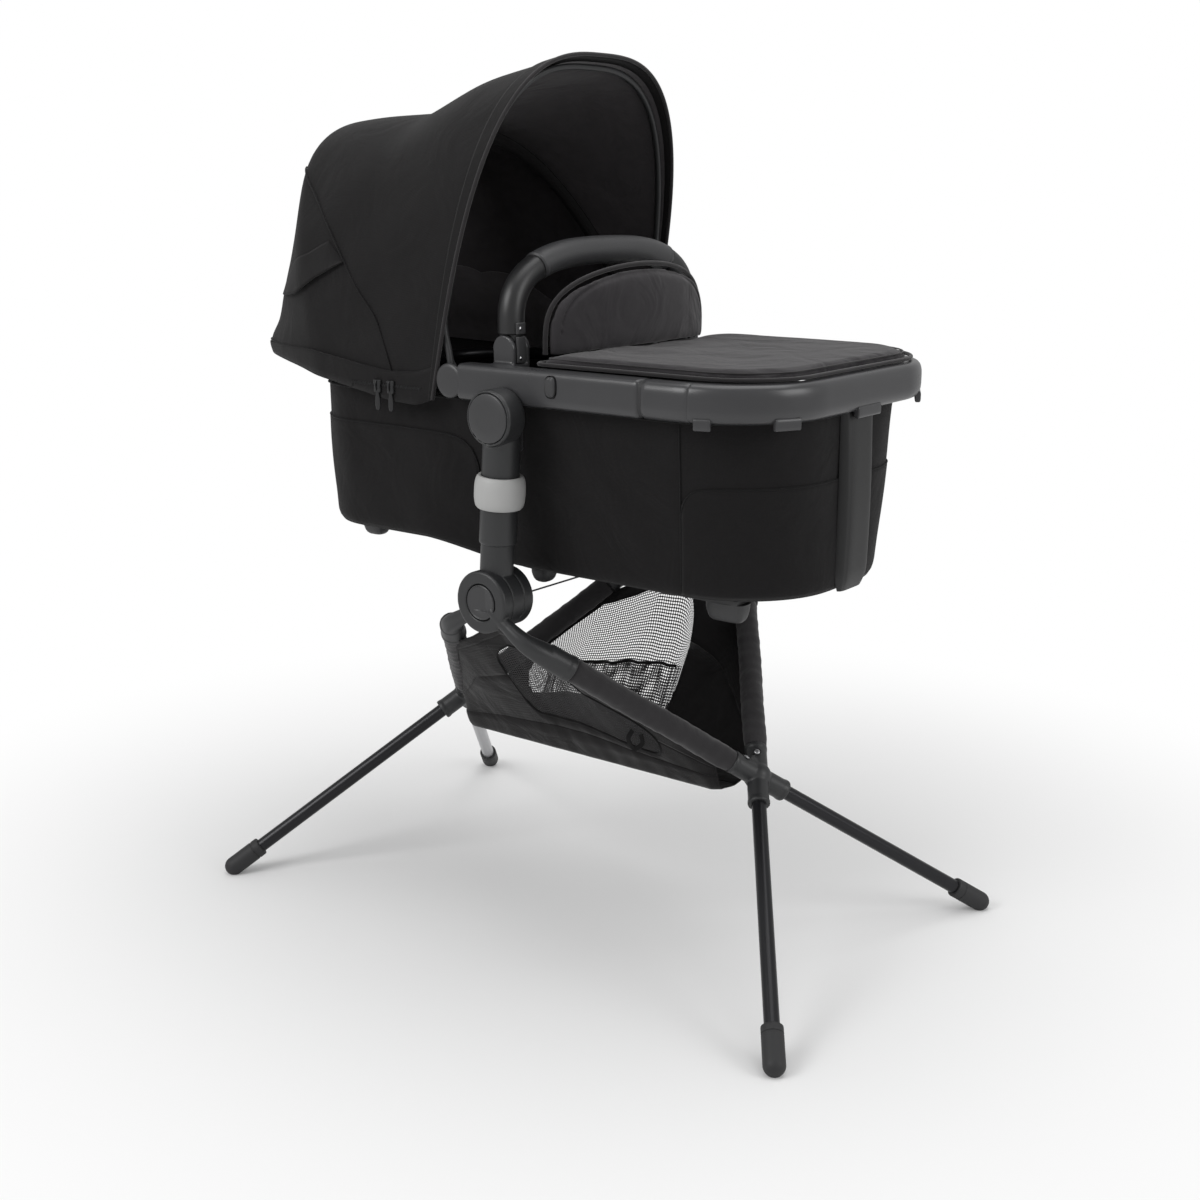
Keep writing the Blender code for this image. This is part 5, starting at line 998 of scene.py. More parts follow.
def stadium(rear, front, half, rear_corner, front_corner, count=220):
    """Plan outline, evenly stepped: straight sides and ends joined by quarter circles.

    It starts at the middle of the foot end and runs round by the near side.
    """
    bend = np.linspace(0.0, math.pi / 2, 40)
    x = np.concatenate([[front], front - front_corner + front_corner * np.cos(bend),
                        rear + rear_corner - rear_corner * np.sin(bend), [rear]])
    y = np.concatenate([[0.0], -(half - front_corner) - front_corner * np.sin(bend),
                        -(half - rear_corner) - rear_corner * np.cos(bend), [0.0]])
    x, y = np.concatenate([x, x[-2:0:-1], x[:1]]), np.concatenate([y, -y[-2:0:-1], y[:1]])
    run = np.concatenate([[0.0], np.hypot(np.diff(x), np.diff(y)).cumsum()])
    where = np.linspace(0.0, run[-1], count, endpoint=False)
    return np.interp(where, run, x), np.interp(where, run, y)


def stepped(x):
    """Share of the floor's rise at x: a smooth step up towards the head end."""
    share = np.clip(0.5 - (x + 0.075) / 0.13, 0.0, 1.0)
    return share * share * (3 - 2 * share)


def shell_rows(levels, insets, lift=0.0, top=body_top, count=220):
    """Rings of the body. Level 0 is at the floor and 1 at the top, and each has its own inset.

    Half width = floor half + (top half - floor half) * level - inset, widened by 20 percent of
    the floor's rise at the head end where it is low.
    """
    rings = []
    for level, inset in zip(levels, insets):
        reach = level * (top - body_floor) / (body_top - body_floor)
        half = floor_half + (top_half - floor_half) * reach - inset
        x, y = stadium(body_rear + inset, body_front - inset, half, 0.100 - inset, 0.124 - inset, count)
        low = body_floor + floor_rise * stepped(x) + lift
        y = y * (1.0 + 0.20 * stepped(x) * (1.0 - reach))
        rings.append(np.stack([x, y, low + (top - low) * level], -1))
    return np.stack(rings)


def closed_in(ring, height=0.0, steps=5):
    """Rows that draw a ring in to its middle line, to close a floor or a top."""
    shares = np.linspace(1.0, 0.0, steps + 1)[1:]
    rows = np.repeat(ring[None], steps, 0).copy()
    rows[..., 1] *= np.maximum(shares, 0.004)[:, None]
    rows[..., 2] += height * (1.0 - shares[:, None])
    return rows


levels = np.concatenate([[0.0, 0.006, 0.013, 0.024, 0.040, 0.060, 0.085], np.linspace(0.12, 0.985, 30),
                         [0.996, 1.0]])
insets = np.interp(levels, [0.0, 0.006, 0.013, 0.024, 0.040, 0.060, 0.085, 1.0],
                   [0.0125, 0.0082, 0.0058, 0.0036, 0.0019, 0.0008, 0.0, 0.0])
outer = shell_rows(levels, insets)
centre = outer * (0.0, 0.0, 1.0) + np.clip(outer * (1.0, 0, 0), -0.2, 0.2) * (1.0, 0, 0)
radial = units(outer - centre)
hang = np.sin(math.pi * np.clip(levels, 0, 1))[:, None]
ripple = hang * (0.0010 * np.sin(outer[..., 0] * 31.0 + outer[..., 1] * 23.0 + levels[:, None] * 3.0)
                 + 0.0005 * np.sin(outer[..., 0] * 83.0 - outer[..., 1] * 61.0 + levels[:, None] * 9.0))
outer = outer + radial * ripple[..., None] - radial * 0.0010
inner_levels = np.linspace(0.985, 0.04, 26)
inner = shell_rows(inner_levels, np.full(26, wall + 0.0006))
lip = shell_rows([1.0, 1.0], [0.0015, wall - 0.0010]) - (0.0, 0.0, 0.0002)
lining = shell_rows([0.018], [wall + 0.003])
cloth_skin = np.concatenate([closed_in(outer[0])[::-1], outer, lip, inner, lining, closed_in(lining[0])])
shell = surface("body_shell", (cloth_skin, True), smooth=60)
fit(shell, "carrycot", shell_cloth, "fabric", "body_fabric")
shell.data.materials.append(lining_cloth)
faces_up = np.zeros(len(shell.data.polygons), np.int32)
columns = outer.shape[1]
faces_up[(len(outer) + 6) * columns:] = 1
shell.data.polygons.foreach_set("material_index", faces_up)

perimeter = outer.shape[1]


def patch(name, low, high, first, last, finish, thick=0.0012, corner=0.10, lift=0.0010):
    """A flat pocket sewn on the body: part of the shell between two levels and two places round it.

    Its upper corners are rounded by drawing the top edge down near both ends.
    """
    u = np.linspace(first, last, 90)
    v = np.linspace(0.0, 1.0, 26)
    near_end = np.minimum(u - first, last - u) / (last - first)
    fall = np.where(near_end < corner, 1.0 - np.sqrt(np.clip(1.0 - (1.0 - near_end / corner) ** 2, 0, 1)),
                    0.0)
    level = low + (high - low) * v[:, None] * (1.0 - 0.16 * fall[None, :])
    index = np.mod(u, 1.0) * perimeter
    k = np.floor(index).astype(int) % perimeter
    t = index - np.floor(index)
    ring_place = np.interp(level, levels, np.arange(len(levels)))
    r = np.clip(np.floor(ring_place).astype(int), 0, len(levels) - 2)
    s = (ring_place - r)[..., None]
    following = (k + 1) % perimeter
    t = t[None, :, None]
    grid = ((outer[r, k] * (1 - t) + outer[r, following] * t) * (1 - s)
            + (outer[r + 1, k] * (1 - t) + outer[r + 1, following] * t) * s)
    out = grid - np.clip(grid * (1.0, 0, 0), -0.2, 0.2) - grid * (0, 0, 1.0)
    grid = grid + out / np.linalg.norm(out, axis=-1, keepdims=True) * lift
    piece = surface(name, (grid, False), smooth=60)
    fit(thickened(piece, thick), "carrycot", finish, "fabric")
    rim = np.concatenate([grid[:, 0], grid[-1, 1:-1], grid[::-1, -1]])
    solid(f"{name}_seam", piping(rim[::4], 0.0010, 260), "carrycot", hem_tape, "fabric")
    size = distances(grid[13])[-1], distances(grid[:, 45])[-1]


for name, high, first, last in (("foot_pocket", 0.64, -0.122, 0.122),
                                ("head_pocket_right", 0.76, 0.274, 0.492),
                                ("head_pocket_left", 0.76, 0.508, 0.726)):
    patch(name, 0.020, high, first, last, shell_cloth)

side_seam = outer[1:-1:3, int(0.1245 * perimeter)] + (0.0, -0.0006, 0.0)
for name, side in sides.items():
    solid(f"side_seam_{name}", piping(side_seam * (1, -side, 1), 0.0009, 90), "carrycot", hem_tape, "fabric")
gutter = shell_rows([0.994], [0.0])[0]
gutter = np.concatenate([gutter, gutter[:1]])[::3]
fit(surface("body_rim_cord", (carried(gutter, 0.0034, 0.0034, around=10)[:-1], "ring")), "carrycot", hem_tape,
    "fabric")


# Base tray: a black polypropylene plate screwed under the cloth, with six feet on which the
# carrycot stands when it is off the stand.
tray_black = hard_finish("tray_black", (0.024, 0.024, 0.025), 0.50, grain=0.0009, depth=0.15)
x = np.linspace(-0.302, 0.280, 90)
under = body_floor + floor_rise * stepped(x) - 0.0003
outline = np.concatenate([np.stack([x, under], -1), np.stack([x, under - 0.0050], -1)[::-1]])
spread = np.array([-0.124, -0.1232, 0.1232, 0.124])
draw = np.array([0.0008, 0.0, 0.0, 0.0008])
tray = np.stack([np.column_stack([outline[:, 0] * (1 - d / 0.3), np.full(len(outline), y), outline[:, 1]])
                 for y, d in zip(spread, draw)])
parts = [(tray, True)]
for place, length, height in ((-0.282, 0.034, 1.3), (-0.00155, 0.026, 1.1), (0.260, 0.050, 1.45)):
    for side in sides.values():
        low = float(body_floor + floor_rise * stepped(np.array(place)) - 0.0053)
        depth = np.array([0.0, 0.002, 0.005, 0.010, 0.0150, 0.0185, 0.0205,
                          0.0214]) / 0.0214 * (0.0155 * height)
        shrink = np.array([-0.001, 0.0, 0.0, 0.0012, 0.0032, 0.0060, 0.0095, 0.0140]) * 0.9
        line = np.stack([np.full(8, place), np.full(8, side * 0.1098), low - depth], -1)
        parts.append((carried(line, 0.0282 - 1.6 * shrink, length - 1.6 * shrink, (1, 0, 0), 3.4, 48), True))
fit(surface("base_tray", *parts, smooth=50), "carrycot", tray_black, "frame", "base_plate")


# Spine: a smooth moulded strip over the foot end's seam, from the rail's middle hook to the tray.
share = np.linspace(0.0, 1.0, 60)
spine_z = rail_bottom - 0.0006 + (body_floor + 0.002 - rail_bottom + 0.0006) * share
tuck = np.clip(share - 0.88, 0, 1) / 0.12
half_width = 0.0300 - 0.0060 * tuck ** 2 - 0.0010 * np.sin(math.pi * share)
proud = 0.0110 + 0.0030 * np.sin(math.pi * share) - 0.0060 * tuck ** 2
over = np.linspace(-1.0, 1.0, 41)
bulge = (1.0 - np.abs(over) ** 6) ** 0.5
bulge = bulge - 0.06 * np.exp(-((np.abs(over) - 0.80) / 0.03) ** 2) * (np.abs(over) < 0.95)
face = np.stack([body_front + 0.0003 + bulge[None, :] * proud[:, None], over[None, :] * half_width[:, None],
                 np.broadcast_to(spine_z[:, None], (60, 41))], -1)
back = np.stack([np.full((60, 2), body_front + 0.0003), np.stack([half_width * 0.98, -half_width * 0.98], -1),
                 np.stack([spine_z, spine_z], -1)], -1)
spine_satin = hard_finish("spine_satin", (0.0040, 0.0040, 0.0043), 0.46, grain=0.0005, depth=0.06)
fit(surface("spine_strip", (np.concatenate([face, back], 1), True), smooth=50), "carrycot", spine_satin,
    "frame", "front_spine")


# Padded pieces: each starts a little smaller than it ends, is pumped up as cloth round air, and
# keeps its seams where its cover is sewn.
def place_points(piece, points):
    """Put a piece's points at these places."""
    piece.data.vertices.foreach_set("co", points.astype(np.float32).ravel())


def pumped(piece, voxel, cap, pressure=4.0, frames=20):
    """Pump a closed piece up as cloth under pressure: each point stays within cap of its start."""
    baked(piece)
    melt = piece.modifiers.new("melt", "REMESH")
    melt.mode = "VOXEL"
    melt.voxel_size = voxel
    baked(piece)
    start = np.empty(len(piece.data.vertices) * 3)
    piece.data.vertices.foreach_get("co", start)
    cloth = piece.modifiers.new("cloth", "CLOTH")
    cloth.settings.use_pressure = True
    cloth.settings.uniform_pressure_force = pressure
    cloth.settings.effector_weights.gravity = 0.0
    for frame_number in range(1, frames + 1):
        bpy.context.scene.frame_set(frame_number)
    grown = evaluated(piece)
    end = np.empty(len(grown.vertices) * 3)
    grown.vertices.foreach_get("co", end)
    piece.modifiers.clear()
    move = (end - start).reshape(-1, 3)
    size = np.linalg.norm(move, axis=1, keepdims=True)
    limited = cap * np.tanh(size / cap) / np.maximum(size, 1e-9)
    place_points(piece, start.reshape(-1, 3) + move * limited)
    bpy.context.scene.frame_set(1)
    ease = piece.modifiers.new("ease", "SMOOTH")
    ease.iterations = 16
    round_off = piece.modifiers.new("round", "SUBSURF")
    round_off.levels = round_off.render_levels = 1
    piece.data.shade_smooth()
    return piece


def dented(piece, move):
    """Move a pumped piece's points by move(points), for its seams and where it rests."""
    baked(piece)
    points = np.empty(len(piece.data.vertices) * 3)
    piece.data.vertices.foreach_get("co", points)
    place_points(piece, move(points.reshape(-1, 3)))
    piece.data.shade_smooth()
    return piece


# Mattress: foam in a quilted cotton cover, laid on the lining. Its top edge is drawn in by the
# cover's seam, and shallow quilting lines cross it.
quilt = cloth_finish("quilt", (0.055, 0.055, 0.057), thread=0.0009, sheen=0.35, crease=0.25, lie="XY")
mattress_top = body_floor + 0.057
rows = shell_rows([0.0, 0.08, 0.25, 0.55, 0.8, 0.93, 1.0],
                  np.array([0.010, 0.004, 0.003, 0.0025, 0.003, 0.006, 0.012]) + wall + 0.0105,
                  wall + 0.0016, mattress_top - 0.0022, 160)
rows = np.concatenate([closed_in(rows[0])[::-1], rows, closed_in(rows[-1])])
pad = pumped(surface("mattress_pad", (rows, True)), 0.0055, 0.0045)


def quilted(points):
    """Quilting: shallow valleys on lines that cross at an angle, on the top face only."""
    first = np.abs(((points[:, 0] + points[:, 1]) / 0.062) % 1.0 - 0.5)
    second = np.abs(((points[:, 0] - points[:, 1]) / 0.062) % 1.0 - 0.5)
    valley = np.exp(-(first / 0.045) ** 2) + np.exp(-(second / 0.045) ** 2)
    on_top = np.clip((points[:, 2] - mattress_top + 0.006) / 0.004, 0.0, 1.0)
    points = points.copy()
    points[:, 2] -= 0.0022 * np.minimum(valley, 1.0) * on_top
    return points


fit(dented(pad, quilted), "carrycot", quilt, "foam", "mattress")


# Apron and wind flap: padded panels of soft brushed cloth over the foot end. A cord-filled piping
# is sewn round each, and the flap stands up on the apron's rear edge.
apron_cloth = cloth_finish("apron_cloth", (0.0200, 0.0180, 0.0200), thread=0.0007, sheen=0.16, crease=0.45,
                           lie="XY")
flap_cloth = cloth_finish("flap_cloth", (0.0310, 0.0285, 0.0310), thread=0.0007, sheen=0.24, crease=0.45,
                          lie="YZ")
piping_cloth = cloth_finish("piping_cloth", (0.0185, 0.0170, 0.0180), thread=0.0006, sheen=0.25)
apron_rear, apron_front, apron_half, apron_low = 0.048, 0.352, 0.1865, rail_top + 0.0003
rows = []
for height, inset in ((0.0006, 0.006), (0.0022, 0.0025), (0.0048, 0.0015), (0.0070, 0.0035), (0.0080, 0.009),
                      (0.0084, 0.018)):
    x, y = stadium(apron_rear + inset, apron_front - inset, apron_half - inset, 0.012, 0.085 - inset, 200)
    rows.append(np.stack([x, y, np.full(200, apron_low + height)], -1))
rows = np.stack(rows)
rows = np.concatenate([closed_in(rows[0])[::-1], rows, closed_in(rows[-1])])
apron = pumped(surface("apron_panel", (rows, True)), 0.0040, 0.0050, pressure=3.0)


def settled(points):
    """The apron's underside stays flat on the rail, and its top dips in soft waves off the rail."""
    points = points.copy()
    x, y = points[:, 0].copy(), points[:, 1].copy()
    inside = np.clip((0.150 - np.abs(y)) / 0.05, 0, 1) * np.clip((0.31 - x) / 0.06, 0, 1)
    wave = 0.0012 * np.sin(x * 52.0 + y * 21.0) + 0.0009 * np.sin(y * 64.0 - x * 18.0)
    top = np.clip((points[:, 2] - apron_low - 0.004) / 0.003, 0, 1)
    points[:, 2] += (wave - 0.0012) * inside * top
    points[:, 2] = np.clip(points[:, 2], apron_low, apron_low + 0.0125)
    return points


fit(dented(apron, settled), "carrycot", apron_cloth, "apron", "apron")
# Label, inset, rear and front corner radius, height, width and thickness, and points round it.
apron_cords = (("piping", 0.001, 0.012, 0.084, 0.0034, 0.0044, 0.0044, 14),
               ("topstitch", 0.010, 0.010, 0.076, 0.0088, 0.0016, 0.0018, 8))
for label, inset, rear_corner, front_corner, height, width, thickness, around in apron_cords:
    x, y = stadium(apron_rear + inset, apron_front - inset, apron_half - inset, rear_corner, front_corner,
                   260)
    line = np.stack([x, y, np.full(260, apron_low + height)], -1)
    loop = carried(np.concatenate([line, line[:1]]), width, thickness, around=around)[:-1]
    fit(surface(f"apron_{label}", (loop, "ring")), "carrycot", piping_cloth, "apron")

flap_x, flap_half, flap_bow = 0.0375, 0.153, 0.024
flap_low, flap_top = apron_low + 0.0060, rail_top + 0.106
angle = np.linspace(0.0, math.pi, 121)


def flap_edge(shrink, shift):
    """Outline of the flap, bottom corners included: an arch of power 0.55 that bows forward."""
    y = -np.cos(angle) * (flap_half - shrink)
    z = flap_low + 0.004 + (flap_top - shrink - flap_low - 0.004) * np.sin(angle) ** 0.55
    lead_in = flap_bow * (1 - (y / flap_half) ** 2)
    arch_line = np.stack([flap_x + lead_in + shift, y, z], -1)
    y = arch_line[::-1, 1][1:-1]
    base = np.stack([flap_x + flap_bow * (1 - (y / flap_half) ** 2) + shift, y,
                     np.full(len(y), flap_low + shrink * 0.3)], -1)
    return np.concatenate([arch_line, base])


def narrowed(ring, share):
    """A flap ring drawn towards its own middle height, row by row, to close its face."""
    ring = ring.copy()
    middle = flap_low + 0.040
    ring[:, 2] = middle + (ring[:, 2] - middle) * share
    y = ring[:, 1] * (0.25 + 0.75 * share)
    ring[:, 0] += flap_bow * ((ring[:, 1] / flap_half) ** 2 - (y / flap_half) ** 2)
    ring[:, 1] = y
    return ring


body_rows = [flap_edge(shrink, shift) for shrink, shift in
             ((0.010, -0.0050), (0.0045, -0.0040), (0.0015, -0.0018), (0.0015, 0.0018), (0.0045, 0.0040),
              (0.010, 0.0050))]
rows = np.stack([narrowed(body_rows[0], s) for s in (0.01, 0.3, 0.6, 0.85)] + body_rows
                + [narrowed(body_rows[-1], s) for s in (0.85, 0.6, 0.3, 0.01)])
flap = pumped(surface("flap_panel", (rows, True)), 0.0040, 0.0050, pressure=3.5)


def sewn(points):
    """A stitched line that follows the flap's edge 14 mm inside it, and a floor it stands on."""
    points = points.copy()
    y = np.clip(points[:, 1] / (flap_half - 0.014), -0.999, 0.999)
    line = flap_low + 0.004 + (flap_top - 0.014 - flap_low) * np.sin(np.arccos(-y)) ** 0.55
    valley = np.exp(-((points[:, 2] - line) / 0.0022) ** 2) * (np.abs(points[:, 1]) < flap_half - 0.014)
    middle = flap_x + flap_bow * (1 - (points[:, 1] / flap_half) ** 2)
    points[:, 0] -= (points[:, 0] - middle) * 0.32 * valley
    points[:, 2] = np.maximum(points[:, 2], flap_low)
    return points


fit(dented(flap, sewn), "carrycot", flap_cloth, "apron", "wind_flap")
edge_line = flap_edge(0.0005, 0.0)[:121]
fit(surface("flap_piping", (carried(edge_line, 0.0056, 0.0056, (1, 0, 0), around=14), True)), "carrycot",
    piping_cloth, "apron")


# Hood: one sewn canopy of coated cloth over two bows. It closes on the head tube with a zip, its
# front edge is a stiff band with piping, and a lining of thinner cloth is sewn inside it.
hood_cloth = cloth_finish("hood_cloth", (0.0058, 0.0052, 0.0055), thread=0.0008, sheen=0.07, crease=0.22)
hood_lining = cloth_finish("hood_lining", (0.062, 0.057, 0.060), thread=0.0006, sheen=0.15, crease=0.35)
seam_cloth = cloth_finish("seam_cloth", (0.0045, 0.0042, 0.0044), thread=0.0005, sheen=0.1)
# Ribs from the front edge to the rear hem: share of the way, the foot's X, half width and Z, and
# the top's X and Z.
ribs = np.array([
    (0.00, -0.086, 0.208, 0.662, 0.000, 1.0460),
    (0.16, -0.110, 0.208, 0.654, -0.105, 1.0255),
    (0.34, -0.150, 0.208, 0.656, -0.205, 0.9900),
    (0.52, -0.210, 0.208, 0.666, -0.296, 0.9840),
    (0.68, -0.280, 0.204, 0.676, -0.354, 0.9790),
    (0.80, -0.328, 0.188, 0.684, -0.374, 0.9090),
    (0.90, -0.425, 0.146, 0.692, -0.398, 0.8170),
    (0.97, -0.431, 0.086, 0.700, -0.426, 0.7360),
])


def eased_table(table, width=0.035):
    """A table of ribs read along its first column and smoothed by a running mean of that width."""
    fine = np.linspace(-0.2, 1.2, 1401)
    columns = []
    for k in range(1, table.shape[1]):
        inside = np.interp(fine, table[:, 0], table[:, k])
        first, last = table[0], table[-1]
        slope = (table[1, k] - first[k]) / (table[1, 0] - first[0])
        inside = np.where(fine < first[0], first[k] + slope * (fine - first[0]), inside)
        slope = (last[k] - table[-2, k]) / (last[0] - table[-2, 0])
        inside = np.where(fine > last[0], last[k] + slope * (fine - last[0]), inside)
        size = int(width * 1000)
        for _ in range(3):
            inside = np.convolve(np.pad(inside, size, mode="edge"), np.ones(2 * size + 1) / (2 * size + 1),
                                 "valid")
        columns.append(inside)
    return fine, columns


rib_places, rib_columns = eased_table(ribs, 0.022)


def canopy_at(share, angle, inset=0.0):
    """Point of the canopy on the rib at a share, at an angle from the near foot over the top.

    y = -sign(cos) |cos|^(2/2.9) half and the rest runs from foot to top by |sin|^(2/2.9). The rear
    is drawn in at 0.855 m and flares out just above its hem. An inset draws the rib in all round.
    """
    foot_x, half, foot_z, top_x, top_z = (np.interp(share, rib_places, column) for column in rib_columns)
    half, top_z = half - inset, top_z - inset
    foot_x, top_x = foot_x + inset * share, top_x + inset * share
    power = 2 / 2.9
    rise = np.abs(np.sin(angle)) ** power
    side_way = -np.sign(np.cos(angle)) * np.abs(np.cos(angle)) ** power
    height = foot_z + (top_z - foot_z) * rise
    at_rear = np.clip((share - 0.66) / 0.16, 0.0, 1.0) ** 2
    waist, brim = (np.exp(-((height - level) / width) ** 2) for level,
                   width in ((0.855, 0.050), (0.706, 0.021)))
    flare = at_rear * (0.0065 * waist - 0.0150 * brim)
    return np.stack([foot_x + (top_x - foot_x) * rise + flare, side_way * half, height], -1)


def canopy(shares, angles, inset=0.0):
    """Grid of the canopy: a row for each share, a column for each angle."""
    shares, angles = np.broadcast_arrays(np.array(shares)[:, None], np.array(angles)[None, :])
    return canopy_at(shares, angles, inset)


# The angle runs closer together near the feet, where the rib is upright.
run = np.linspace(0.0, 1.0, 181)
hood_angles = math.pi * (run - 0.115 * np.sin(math.tau * run) / math.tau * 2.0)
hood_angles[0], hood_angles[-1] = 0.0, math.pi
shares = np.linspace(0.0, 0.97, 120)
outer_skin = canopy(shares, hood_angles)
centre = np.array([-0.19, 0.0, 0.72])
radial = units(outer_skin - centre)
free = np.sin(np.clip(shares / 0.97, 0, 1) * math.pi)[:, None] ** 0.7
soft_wave = (0.0016 * np.sin(outer_skin[..., 0] * 24.0 + outer_skin[..., 2] * 17.0
                             + 0.5 * outer_skin[..., 1] * 20.0)
             + 0.0008 * np.sin(outer_skin[..., 2] * 55.0 - outer_skin[..., 0] * 38.0))
slack = free * soft_wave - free * 0.0010
outer_skin = outer_skin + radial * slack[..., None]


def closed_rear(grid, shares):
    """The rear panel is closed from the last rib in to the middle of its foot, by shares of the way."""
    ring = grid[-1]
    middle = (ring[0] + ring[-1]) / 2
    return np.concatenate([grid, np.stack([middle + (ring - middle) * s for s in shares])])


skin = surface("hood_shell", (closed_rear(outer_skin, (0.75, 0.5, 0.25, 0.02)), False), smooth=70)
thickened(skin, 0.0020, -1.0)


def on_hood(piece, finish, *nodes):
    """Give a piece of the hood its finish, set its place into its mesh and hide the solids that it stands for. On
    the real hood it bends from the carrycot's hem to the front bow as it folds.
    """
    piece.data.materials.append(finish)
    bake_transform(piece)
    if nodes:
        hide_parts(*nodes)
    return piece


on_hood(skin, hood_cloth, "hood_canopy")

inner_shares = np.linspace(0.012, 0.955, 70)
inner_skin = canopy(inner_shares, hood_angles[2:-2], 0.0052)
fold = 0.0016 * np.sin(inner_skin[..., 2] * 46.0 + inner_skin[..., 0]
                       * 31.0) * np.sin(np.linspace(0, math.pi, 70))[:, None]
toward = units(centre - inner_skin)
inner_skin = inner_skin + toward * (0.0012 + np.abs(fold))[..., None]
inside = surface("hood_lining", (closed_rear(inner_skin, (0.7, 0.35, 0.02)), False), smooth=70)
on_hood(inside, hood_lining)


def hood_line(points, lift=0.0008, radius=0.0009, count=160, side=1.0):
    """Grid of a seam that follows the canopy through (share, angle) points."""
    points = np.array(points, float)
    way = curve_through(np.column_stack([points, np.zeros(len(points))]), count)
    line = canopy_at(way[:, 0], way[:, 1])
    out = units(line - centre)
    line = (line + out * lift) * (1.0, side, 1.0)
    return carried(line, 2 * radius, 2 * radius, cord_up, 2.0, 8)


def hood_band(low, high, angles, lift=0.0006, inset=0.0, count=9):
    """Grid of a strip of the canopy between two shares, lifted a little off it."""
    grid = canopy(np.linspace(low, high, count), angles, inset)
    out = units(grid - centre)
    return grid + out * lift * (1.0 if inset == 0.0 else -1.0)


hem = surface("hood_front_band", (hood_band(0.000, 0.034, hood_angles, 0.0010), False), smooth=70)
on_hood(thickened(hem, 0.0022), hood_cloth)
front_edge = canopy_at(np.full(200, 0.0), np.linspace(0.0, math.pi, 200)) + (0.0010, 0.0, 0.0)
on_hood(surface("hood_front_piping", (carried(front_edge, 0.0048, 0.0048, (1, 0, 0), around=14), True)),
        piping_cloth)
second = hood_line([(0.036, a) for a in np.linspace(0.02, math.pi - 0.02, 24)], 0.0008, 0.0008, 240)
on_hood(surface("hood_band_seam", (second, True)), seam_cloth)
for name, side in sides.items():
    seams = [
        hood_line([(0.70, 0.90), (0.645, 0.74), (0.595, 0.641), (0.52, 0.456), (0.47, 0.33), (0.42, 0.228),
                   (0.365, 0.158),
                   (0.34, 0.097), (0.315, 0.03)], 0.0003, 0.0010, 160, side),
        hood_line([(0.02, 0.036), (0.16, 0.036), (0.34, 0.036), (0.52, 0.034), (0.68, 0.030), (0.80, 0.026),
                   (0.90, 0.05)],
                  0.0006, 0.0009, 160, side),
    ]
    on_hood(surface(f"hood_seams_{name}", *[(seam, True) for seam in seams]), seam_cloth)

# A folded overlap crosses each rear quarter, from the slanting seam back to the rear corner.
for name, side in sides.items():
    marks = curve_through(np.array([(0.470, 0.330, 0), (0.590, 0.262, 0), (0.705, 0.205, 0),
                                    (0.800, 0.245, 0), (0.880, 0.386, 0)]), 60)
    depth = np.linspace(0.0, 1.0, 12)
    end_ease = np.clip((1.0 - np.linspace(0.0, 1.0, 60)) / 0.22, 0.30, 1.0)
    taper = np.clip(np.linspace(0.0, 1.0, 60) / 0.2, 0.02, 1.0)
    share_grid = marks[:, :1] - 0.030 * depth[None, :] * taper[:, None]
    angle_grid = marks[:, 1:2] + 0.14 * depth[None, :] * taper[:, None]
    grid = canopy_at(share_grid, angle_grid)
    out = units(grid - centre)
    grid = (grid + out * (0.0052 * end_ease[:, None, None] * (1.0 - depth[None, :, None]) ** 1.3
                          - 0.0016)) * (1.0, side, 1.0)
    flap_piece = surface(f"hood_overlap_{name}", (grid, False), smooth=70)
    on_hood(thickened(flap_piece, 0.0014), hood_cloth)

# Hem along the head tube; the zip's tape on its outside is made with the zip further down.
hem_angles = np.linspace(0.0, 0.036, 6)
for name, side in sides.items():
    grid = canopy(shares, hem_angles)
    out = grid - centre
    out[..., 2] = 0
    out /= np.linalg.norm(out, axis=-1, keepdims=True)
    grid = (grid + out * 0.0010) * (1.0, side, 1.0)
    strip = surface(f"hood_hem_{name}", (grid, False), smooth=70)
    on_hood(thickened(strip, 0.0020), hood_cloth)


# The lining turns in from the hood's hem to the body's top edge, and a padded band lines the head
# end inside it.
near_hem = canopy_at(np.linspace(0.07, 0.97, 90), np.full(90, 0.012), 0.003)
rear_hem = near_hem[-1] + (near_hem[-1] * (1, -1, 1) - near_hem[-1]) * np.linspace(0.0, 1.0, 22)[1:-1, None]
hem_ring = np.concatenate([near_hem, rear_hem, near_hem[::-1] * (1, -1, 1)])
plan_x, plan_y = stadium(body_rear + 0.002, body_front, top_half - 0.002, 0.100, 0.124, 1600)
nearest = ((hem_ring[:, :1] - plan_x) ** 2 + (hem_ring[:, 1:2] - plan_y) ** 2).argmin(axis=1)
inner_ring = np.stack([plan_x[nearest], plan_y[nearest], np.full(len(hem_ring), body_top + 0.004)], -1)
ease_in = np.linspace(0.0, 1.0, 9)[:, None, None]
tuck = hem_ring[None] * (1 - ease_in) + inner_ring[None] * ease_in - (0, 0, 0.006) * np.sin(math.pi * ease_in)
turn_in = surface("hood_turn_in", (tuck, False), smooth=70)
on_hood(turn_in, hood_cloth)
bolster_cloth = cloth_finish("bolster_cloth", (0.085, 0.079, 0.083), thread=0.0007, sheen=0.25, crease=0.30)
